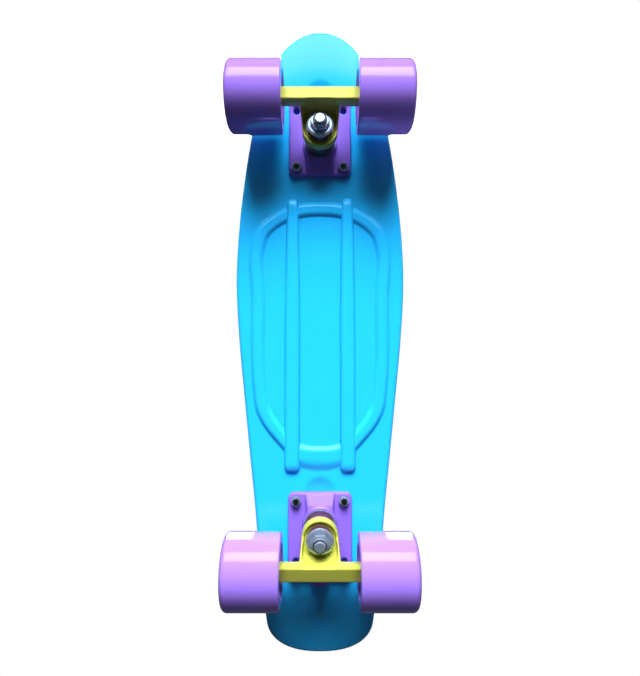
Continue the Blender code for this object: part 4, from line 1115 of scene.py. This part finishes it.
class BuildOperator:
    """What every builder shares: a piece is built in one call, or the operator raises an error."""
    bl_options = {"REGISTER", "UNDO"}

    def execute(self, context):
        self.build(context)
        return {"FINISHED"}


class BOARD_OT_deck_shell(BuildOperator, bpy.types.Operator):
    """Build the deck's shell with its rounded edge, plain rim, recessed floor and two dishes"""
    bl_idname = "board.deck_shell"
    bl_label = "Deck Shell"

    def build(self, context):
        settings = in_millimetres(context.scene.board_deck)
        add_piece("deck_shell", deck_shell(settings), "Deck Plastic", "board", ["deck"])


class BOARD_OT_deck_tread(BuildOperator, bpy.types.Operator):
    """Build the diamond tread, the bead round it, the round field and the bosses round the bolts"""
    bl_idname = "board.deck_tread"
    bl_label = "Deck Tread"

    def build(self, context):
        settings = in_millimetres(context.scene.board_deck)
        for name, surface, sharp in (("deck_tread", tread_ridges(settings), 70),
                                     ("deck_bead", tread_bead(settings), 70),
                                     ("deck_disc", tread_disc(settings), 50)):
            add_piece(name, surface, "Deck Plastic", "board", sharp=sharp)
        for truck, number in bolt_places():
            x, y, _ = middle(f"{truck}_deck_bolt_{number}")
            add_piece(f"deck_boss_{truck}_{number}", moved(bolt_boss(settings), x, y, DECK_TOP),
                      "Deck Plastic", "board", sharp=50)


class BOARD_OT_deck_ribs(BuildOperator, bpy.types.Operator):
    """Build the two long ribs and the ridge loop below the deck"""
    bl_idname = "board.deck_ribs"
    bl_label = "Deck Ribs"

    def build(self, context):
        settings = in_millimetres(context.scene.board_deck)
        for side, sign in zip(SIDES, (-1, 1)):
            add_piece(f"deck_rib_{side}", deck_rib(settings, sign), "Deck Plastic", "board", sharp=50)
        add_piece("deck_ridge_loop", deck_loop(settings), "Deck Plastic", "board", sharp=60)


class BOARD_OT_baseplates(BuildOperator, bpy.types.Operator):
    """Build both base plates with their fillets, and the pivot cups in them"""
    bl_idname = "board.baseplates"
    bl_label = "Base Plates"

    def build(self, context):
        plate = casting("front_baseplate", baseplate_field)
        cup = placed(pivot_cup(), STEER_AXIS, PIVOT_POINT)
        for truck in TRUCKS:
            add_piece(f"baseplate_{truck}", in_truck(plate, truck), "Plate Paint", "board",
                      [f"{truck}_baseplate"], sharp=180)
            add_piece(f"pivot_cup_{truck}", in_truck(cup, truck), "Black Nylon", "board",
                      [f"{truck}_pivot_cup"])


class BOARD_OT_hangers(BuildOperator, bpy.types.Operator):
    """Build both hangers with their beam, yoke, pocket, bushing ring and pivot"""
    bl_idname = "board.hangers"
    bl_label = "Hangers"

    def build(self, context):
        hanger = casting("front_hanger", hanger_field)
        for truck in TRUCKS:
            add_piece(f"hanger_{truck}", in_truck(hanger, truck), "Hanger Paint", f"{truck}_truck",
                      [f"{truck}_hanger"], sharp=180)


class BOARD_OT_kingpins(BuildOperator, bpy.types.Operator):
    """Build the kingpins, their lock nuts, cup washers and bushings"""
    bl_idname = "board.kingpins"
    bl_label = "Kingpins"

    def build(self, context):
        board_height = RING_AT - RING_HALF - GAP - BOARD_BUSHING_AT
        pieces = (
            ("kingpin", kingpin_bolt(), 0, "Zinc Steel"),
            ("board_cup_washer", cup_washer(BOARD_BUSHING_RADIUS), BOARD_CUP_AT, "Zinc Steel"),
            ("board_bushing", bushing(BOARD_BUSHING_RADIUS, board_height, 1), BOARD_BUSHING_AT,
             "Bushing Urethane"),
            ("road_bushing", bushing(ROAD_BUSHING_RADIUS, ROAD_BUSHING_HEIGHT, 1.6), ROAD_BUSHING_AT,
             "Bushing Urethane"),
            ("road_cup_washer", turned_over(cup_washer(ROAD_BUSHING_RADIUS)), ROAD_CUP_AT + CUP_THICKNESS,
             "Zinc Steel"),
            ("kingpin_nut", lock_nut(14, KINGPIN_NUT_HEIGHT, 10.1, 2.2), KINGPIN_NUT_AT, "Zinc Steel"),
            ("kingpin_nut_ring", kingpin_nut_ring(), KINGPIN_NUT_AT + KINGPIN_NUT_HEIGHT - 1.2,
             "Black Nylon"),
        )
        for truck in TRUCKS:
            for name, surface, distance, finish in pieces:
                own = [f"{truck}_{name}"] if name != "kingpin_nut_ring" else ()
                add_piece(f"{name}_{truck}", in_truck(down_kingpin(surface, distance), truck), finish,
                          "board", own)


class BOARD_OT_axles(BuildOperator, bpy.types.Operator):
    """Build the axles with their threads, washers and lock nuts"""
    bl_idname = "board.axles"
    bl_label = "Axles"

    def build(self, context):
        half_axle = threaded_rod(AXLE_RADIUS, size("front_axle")[0] / 2, AXLE_NUT_AT - 2, 0.9)
        washer = plain_washer(6.2, WASHER_BORE, 1)
        pieces = (
            ("speed_washer", washer, SPEED_WASHER_AT, "Zinc Steel", "speed_washer"),
            ("inner_washer", washer, BEAM_LENGTH / 2 + GAP, "Zinc Steel"),
            ("axle_nut", lock_nut(13, AXLE_NUT_HEIGHT, 8.6, 1.8), AXLE_NUT_AT, "Zinc Steel", "axle_nut"),
            ("axle_nut_ring", plain_washer(5.3, 4.2, 1.4), AXLE_NUT_AT + AXLE_NUT_HEIGHT - 1.1,
             "Black Nylon"),
        )
        for truck in TRUCKS:
            halves = gather([on_axle(half_axle, sign, 0) for sign in (-1, 1)])
            add_piece(f"axle_{truck}", in_truck(halves, truck), "Zinc Steel", f"{truck}_truck",
                      [f"{truck}_axle"])
            stack_on_axle(truck, pieces, "{truck}_truck")


class BOARD_OT_wheels(BuildOperator, bpy.types.Operator):
    """Build the four wheels with their bearings and spacers"""
    bl_idname = "board.wheels"
    bl_label = "Wheels"

    def build(self, context):
        races, shields = bearing_races(), bearing_shields()
        spacer_at = INNER_BEARING_AT + BEARING_WIDTH + 0.2
        spacer = plain_washer(5.6, WASHER_BORE, OUTER_BEARING_AT - 0.2 - spacer_at)
        pieces = (
            ("wheel", wheel_tyre(), WHEEL_OUTER - WHEEL_WIDTH / 2, "Wheel Urethane", "wheel"),
            ("bearing_inner", races, INNER_BEARING_AT, "Bearing Steel", "inner_bearing"),
            ("bearing_inner_shields", shields, INNER_BEARING_AT, "Shield Steel"),
            ("bearing_outer", races, OUTER_BEARING_AT, "Bearing Steel", "outer_bearing"),
            ("bearing_outer_shields", shields, OUTER_BEARING_AT, "Shield Steel"),
            ("bearing_spacer", spacer, spacer_at, "Zinc Steel"),
        )
        for truck in TRUCKS:
            stack_on_axle(truck, pieces, "{end}_wheel_set")


class BOARD_OT_deck_bolts(BuildOperator, bpy.types.Operator):
    """Build the eight countersunk deck bolts and their lock nuts"""
    bl_idname = "board.deck_bolts"
    bl_label = "Deck Bolts"

    def build(self, context):
        bolt = deck_bolt()
        nut = turned_over(lock_nut(8, size("front_deck_nut_1")[2], 5.6, 1.5))
        for truck, number in bolt_places():
            x, y, _ = middle(f"{truck}_deck_bolt_{number}")
            nut_top = corners(f"{truck}_deck_nut_{number}")[1][2]
            add_piece(f"deck_bolt_look_{truck}_{number}", moved(bolt, x, y, DECK_TOP), "Black Steel",
                      "board", [f"{truck}_deck_bolt_{number}"])
            add_piece(f"deck_nut_look_{truck}_{number}", moved(nut, x, y, nut_top), "Zinc Steel",
                      "board", [f"{truck}_deck_nut_{number}"])


CAMERA_LENS = 28.86
CAMERA_Y = -21.4
FLOOR_REACH = 4.0                 # metres from the middle of the floor to its sides
FLOOR_STATIONS = 9


def facing(right, up, back, place):
    """The matrix of a lamp or camera at a place, with its own three axes."""
    turn = Matrix(np.stack([right, up, back], -1).tolist()).to_4x4()
    return Matrix.Translation(place) @ turn


def soft_light(name, place, aim, size_x, size_y, watts, tone=(1.0, 1.0, 1.0), glossy=True):
    """A rectangular soft light at a place in metres, aimed at a point, unseen by the camera and, where
    it isn't glossy, by reflections."""
    data = bpy.data.lights.new(name, "AREA")
    data.shape = "RECTANGLE"
    data.size, data.size_y = size_x, size_y
    data.energy = watts
    data.color = tone
    made = bpy.data.objects.new(name, data)
    bpy.context.scene.collection.objects.link(made)
    back = np.array(place, float) - aim
    back /= np.linalg.norm(back)
    right = np.cross([0.0, 0, 1], back)
    right /= np.linalg.norm(right)
    made.matrix_world = facing(right, np.cross(back, right), back, place)
    made.visible_camera = False
    made.visible_glossy = glossy
    return made


def mix_shaders(tree, place, share, first, second, end):
    """Mix two shaders by a share, into the surface of an output node."""
    mix = node(tree, "ShaderNodeMixShader", place)
    for target, value in zip(mix.inputs, (share, first, second)):
        feed(tree, target, value)
    feed(tree, end.inputs["Surface"], mix.outputs["Shader"])


def floor_paper():
    """Pale paper that is clear from below, so that the board's underside can be seen through it, and
    that fades into the pale room away from the board."""
    made = bpy.data.materials.new("Floor Paper")
    made.use_nodes = True
    tree = made.node_tree
    shader = tree.nodes["Principled BSDF"]
    shader.inputs["Roughness"].default_value = 0.9
    grain = node(tree, "ShaderNodeGroup", (-600, 100), node_tree=grain_group())
    feed(tree, shader.inputs["Base Color"],
         tint(tree, (-300, 200), grain.outputs["Mask"], (0.86, 0.87, 0.88, 1), (0.90, 0.90, 0.91, 1)))
    reach = node(tree, "ShaderNodeVectorMath", (-700, 500), operation="LENGTH",
                 Vector=here(tree, (-900, 500)))
    fade = node(tree, "ShaderNodeMapRange", (-500, 500), interpolation_type="SMOOTHSTEP",
                Value=reach.outputs["Value"], From_Min=0.45, From_Max=1.3)
    below = node(tree, "ShaderNodeNewGeometry", (-300, 500)).outputs["Backfacing"]
    clear = node(tree, "ShaderNodeBsdfTransparent", (0, -200))
    mix_shaders(tree, (300, 200), arithmetic(tree, "MAXIMUM", (0, 450), below, fade.outputs["Result"]),
                shader.outputs["BSDF"], clear.outputs["BSDF"], tree.nodes["Material Output"])
    return made


class BOARD_OT_stage(BuildOperator, bpy.types.Operator):
    """Set the pale floor, the soft lights, the room and the camera below the board"""
    bl_idname = "board.stage"
    bl_label = "Stage"

    def build(self, context):
        settings = context.scene.board_stage
        self.lay_floor(context)
        self.hang_lights(settings)
        self.paint_room(context, settings)
        self.place_camera(context, settings)
        context.scene.view_settings.view_transform = "Standard"

    def lay_floor(self, context):
        """A flat grid of paper, lit but unseen by the board."""
        side = np.linspace(-FLOOR_REACH, FLOOR_REACH, FLOOR_STATIONS)
        x, y = np.meshgrid(side, side, indexing="ij")
        points = np.stack([x, y, np.zeros_like(x)], -1).reshape(-1, 3)
        mesh = bpy.data.meshes.new("floor")
        quads = skin(FLOOR_STATIONS, FLOOR_STATIONS)[:, ::-1]
        mesh.from_pydata(points.tolist(), [], quads.tolist())
        mesh.materials.append(floor_paper())
        floor = bpy.data.objects.new("floor", mesh)
        context.scene.collection.objects.link(floor)
        floor.visible_shadow = floor.visible_diffuse = floor.visible_glossy = False

    def hang_lights(self, settings):
        """A low key, window and card at the nose's side, and two lights overhead."""
        key = soft_light("low_key", (0, 0.82, -0.62), (0, -0.55, 0.05), 0.7, 0.66, settings.key_power,
                         (1.0, 0.99, 0.97), glossy=False)
        key.data.spread = math.radians(62)
        soft_light("low_window", (0, 1.1, -0.4), (0, 0, 0.02), 2.6, 0.5, settings.window_power,
                   glossy=False)
        card = soft_light("low_card", (0, 0.86, -0.6), (0, 0, -0.6), 1.5, 0.62, settings.card_power)
        card.visible_diffuse = False
        soft_light("ceiling", (0.1, 0.9, 1.5), (0, 0, 0.05), 1.8, 1.6, settings.ceiling_power)
        soft_light("ceiling_fill", (-0.6, -1.4, 1.2), (0, 0, 0.05), 1.6, 1.6,
                   settings.ceiling_power * 0.45, (0.97, 0.98, 1.0), glossy=False)

    def paint_room(self, context, settings):
        """A room that lights the board dimly, and is white where the camera looks at it."""
        world = bpy.data.worlds.new("room")
        context.scene.world = world
        world.use_nodes = True
        tree = world.node_tree
        room = tree.nodes["Background"]
        room.inputs["Color"].default_value = (0.90, 0.95, 1.0, 1)
        room.inputs["Strength"].default_value = settings.room
        paper = node(tree, "ShaderNodeBackground", (0, -200), Color=(1, 1, 1, 1))
        seen = node(tree, "ShaderNodeLightPath", (-200, 400)).outputs["Is Camera Ray"]
        mix_shaders(tree, (250, 100), seen, room.outputs["Background"], paper.outputs["Background"],
                    tree.nodes["World Output"])

    def place_camera(self, context, settings):
        """A camera below the deck that looks up, leaning a little to the nose."""
        lens = bpy.data.cameras.new("camera")
        lens.lens = CAMERA_LENS
        lens.clip_start = 0.01
        camera = bpy.data.objects.new("camera", lens)
        context.scene.collection.objects.link(camera)
        tilt = settings.camera_tilt
        look = np.array([0, math.sin(tilt), math.cos(tilt)])
        up = np.array([0, math.cos(tilt), -math.sin(tilt)])
        place = (0, CAMERA_Y * MM, DECK_BOTTOM * MM - settings.camera_depth)
        camera.matrix_world = facing(np.cross(look, up), up, -look, place)
        context.scene.camera = camera


BUILDERS = (BOARD_OT_deck_shell, BOARD_OT_deck_tread, BOARD_OT_deck_ribs, BOARD_OT_baseplates,
            BOARD_OT_hangers, BOARD_OT_kingpins, BOARD_OT_axles, BOARD_OT_wheels,
            BOARD_OT_deck_bolts, BOARD_OT_stage)


class BOARD_PT_panel(bpy.types.Panel):
    """Panel in the 3D view's sidebar with a button for each builder"""
    bl_idname = "BOARD_PT_panel"
    bl_label = "Skateboard"
    bl_space_type = "VIEW_3D"
    bl_region_type = "UI"
    bl_category = "Skateboard"

    def draw(self, context):
        for builder in BUILDERS:
            self.layout.operator(builder.bl_idname)
        for settings in (context.scene.board_deck, context.scene.board_finish, context.scene.board_stage):
            box = self.layout.box()
            for name in settings.__annotations__:
                box.prop(settings, name)


CLASSES = (DeckSettings, FinishSettings, StageSettings, *BUILDERS, BOARD_PT_panel)


def register():
    """Add the settings, builders and panel to Blender."""
    for item in CLASSES:
        bpy.utils.register_class(item)
    bpy.types.Scene.board_deck = bpy.props.PointerProperty(type=DeckSettings)
    bpy.types.Scene.board_finish = bpy.props.PointerProperty(type=FinishSettings)
    bpy.types.Scene.board_stage = bpy.props.PointerProperty(type=StageSettings)


def unregister():
    """Take them away again."""
    del bpy.types.Scene.board_stage
    del bpy.types.Scene.board_finish
    del bpy.types.Scene.board_deck
    for item in reversed(CLASSES):
        bpy.utils.unregister_class(item)


def main():
    """Build every piece and the stage."""
    register()
    for builder in BUILDERS:
        category, name = builder.bl_idname.split(".")
        getattr(getattr(bpy.ops, category), name)()


if __name__ == "__main__":
    main()
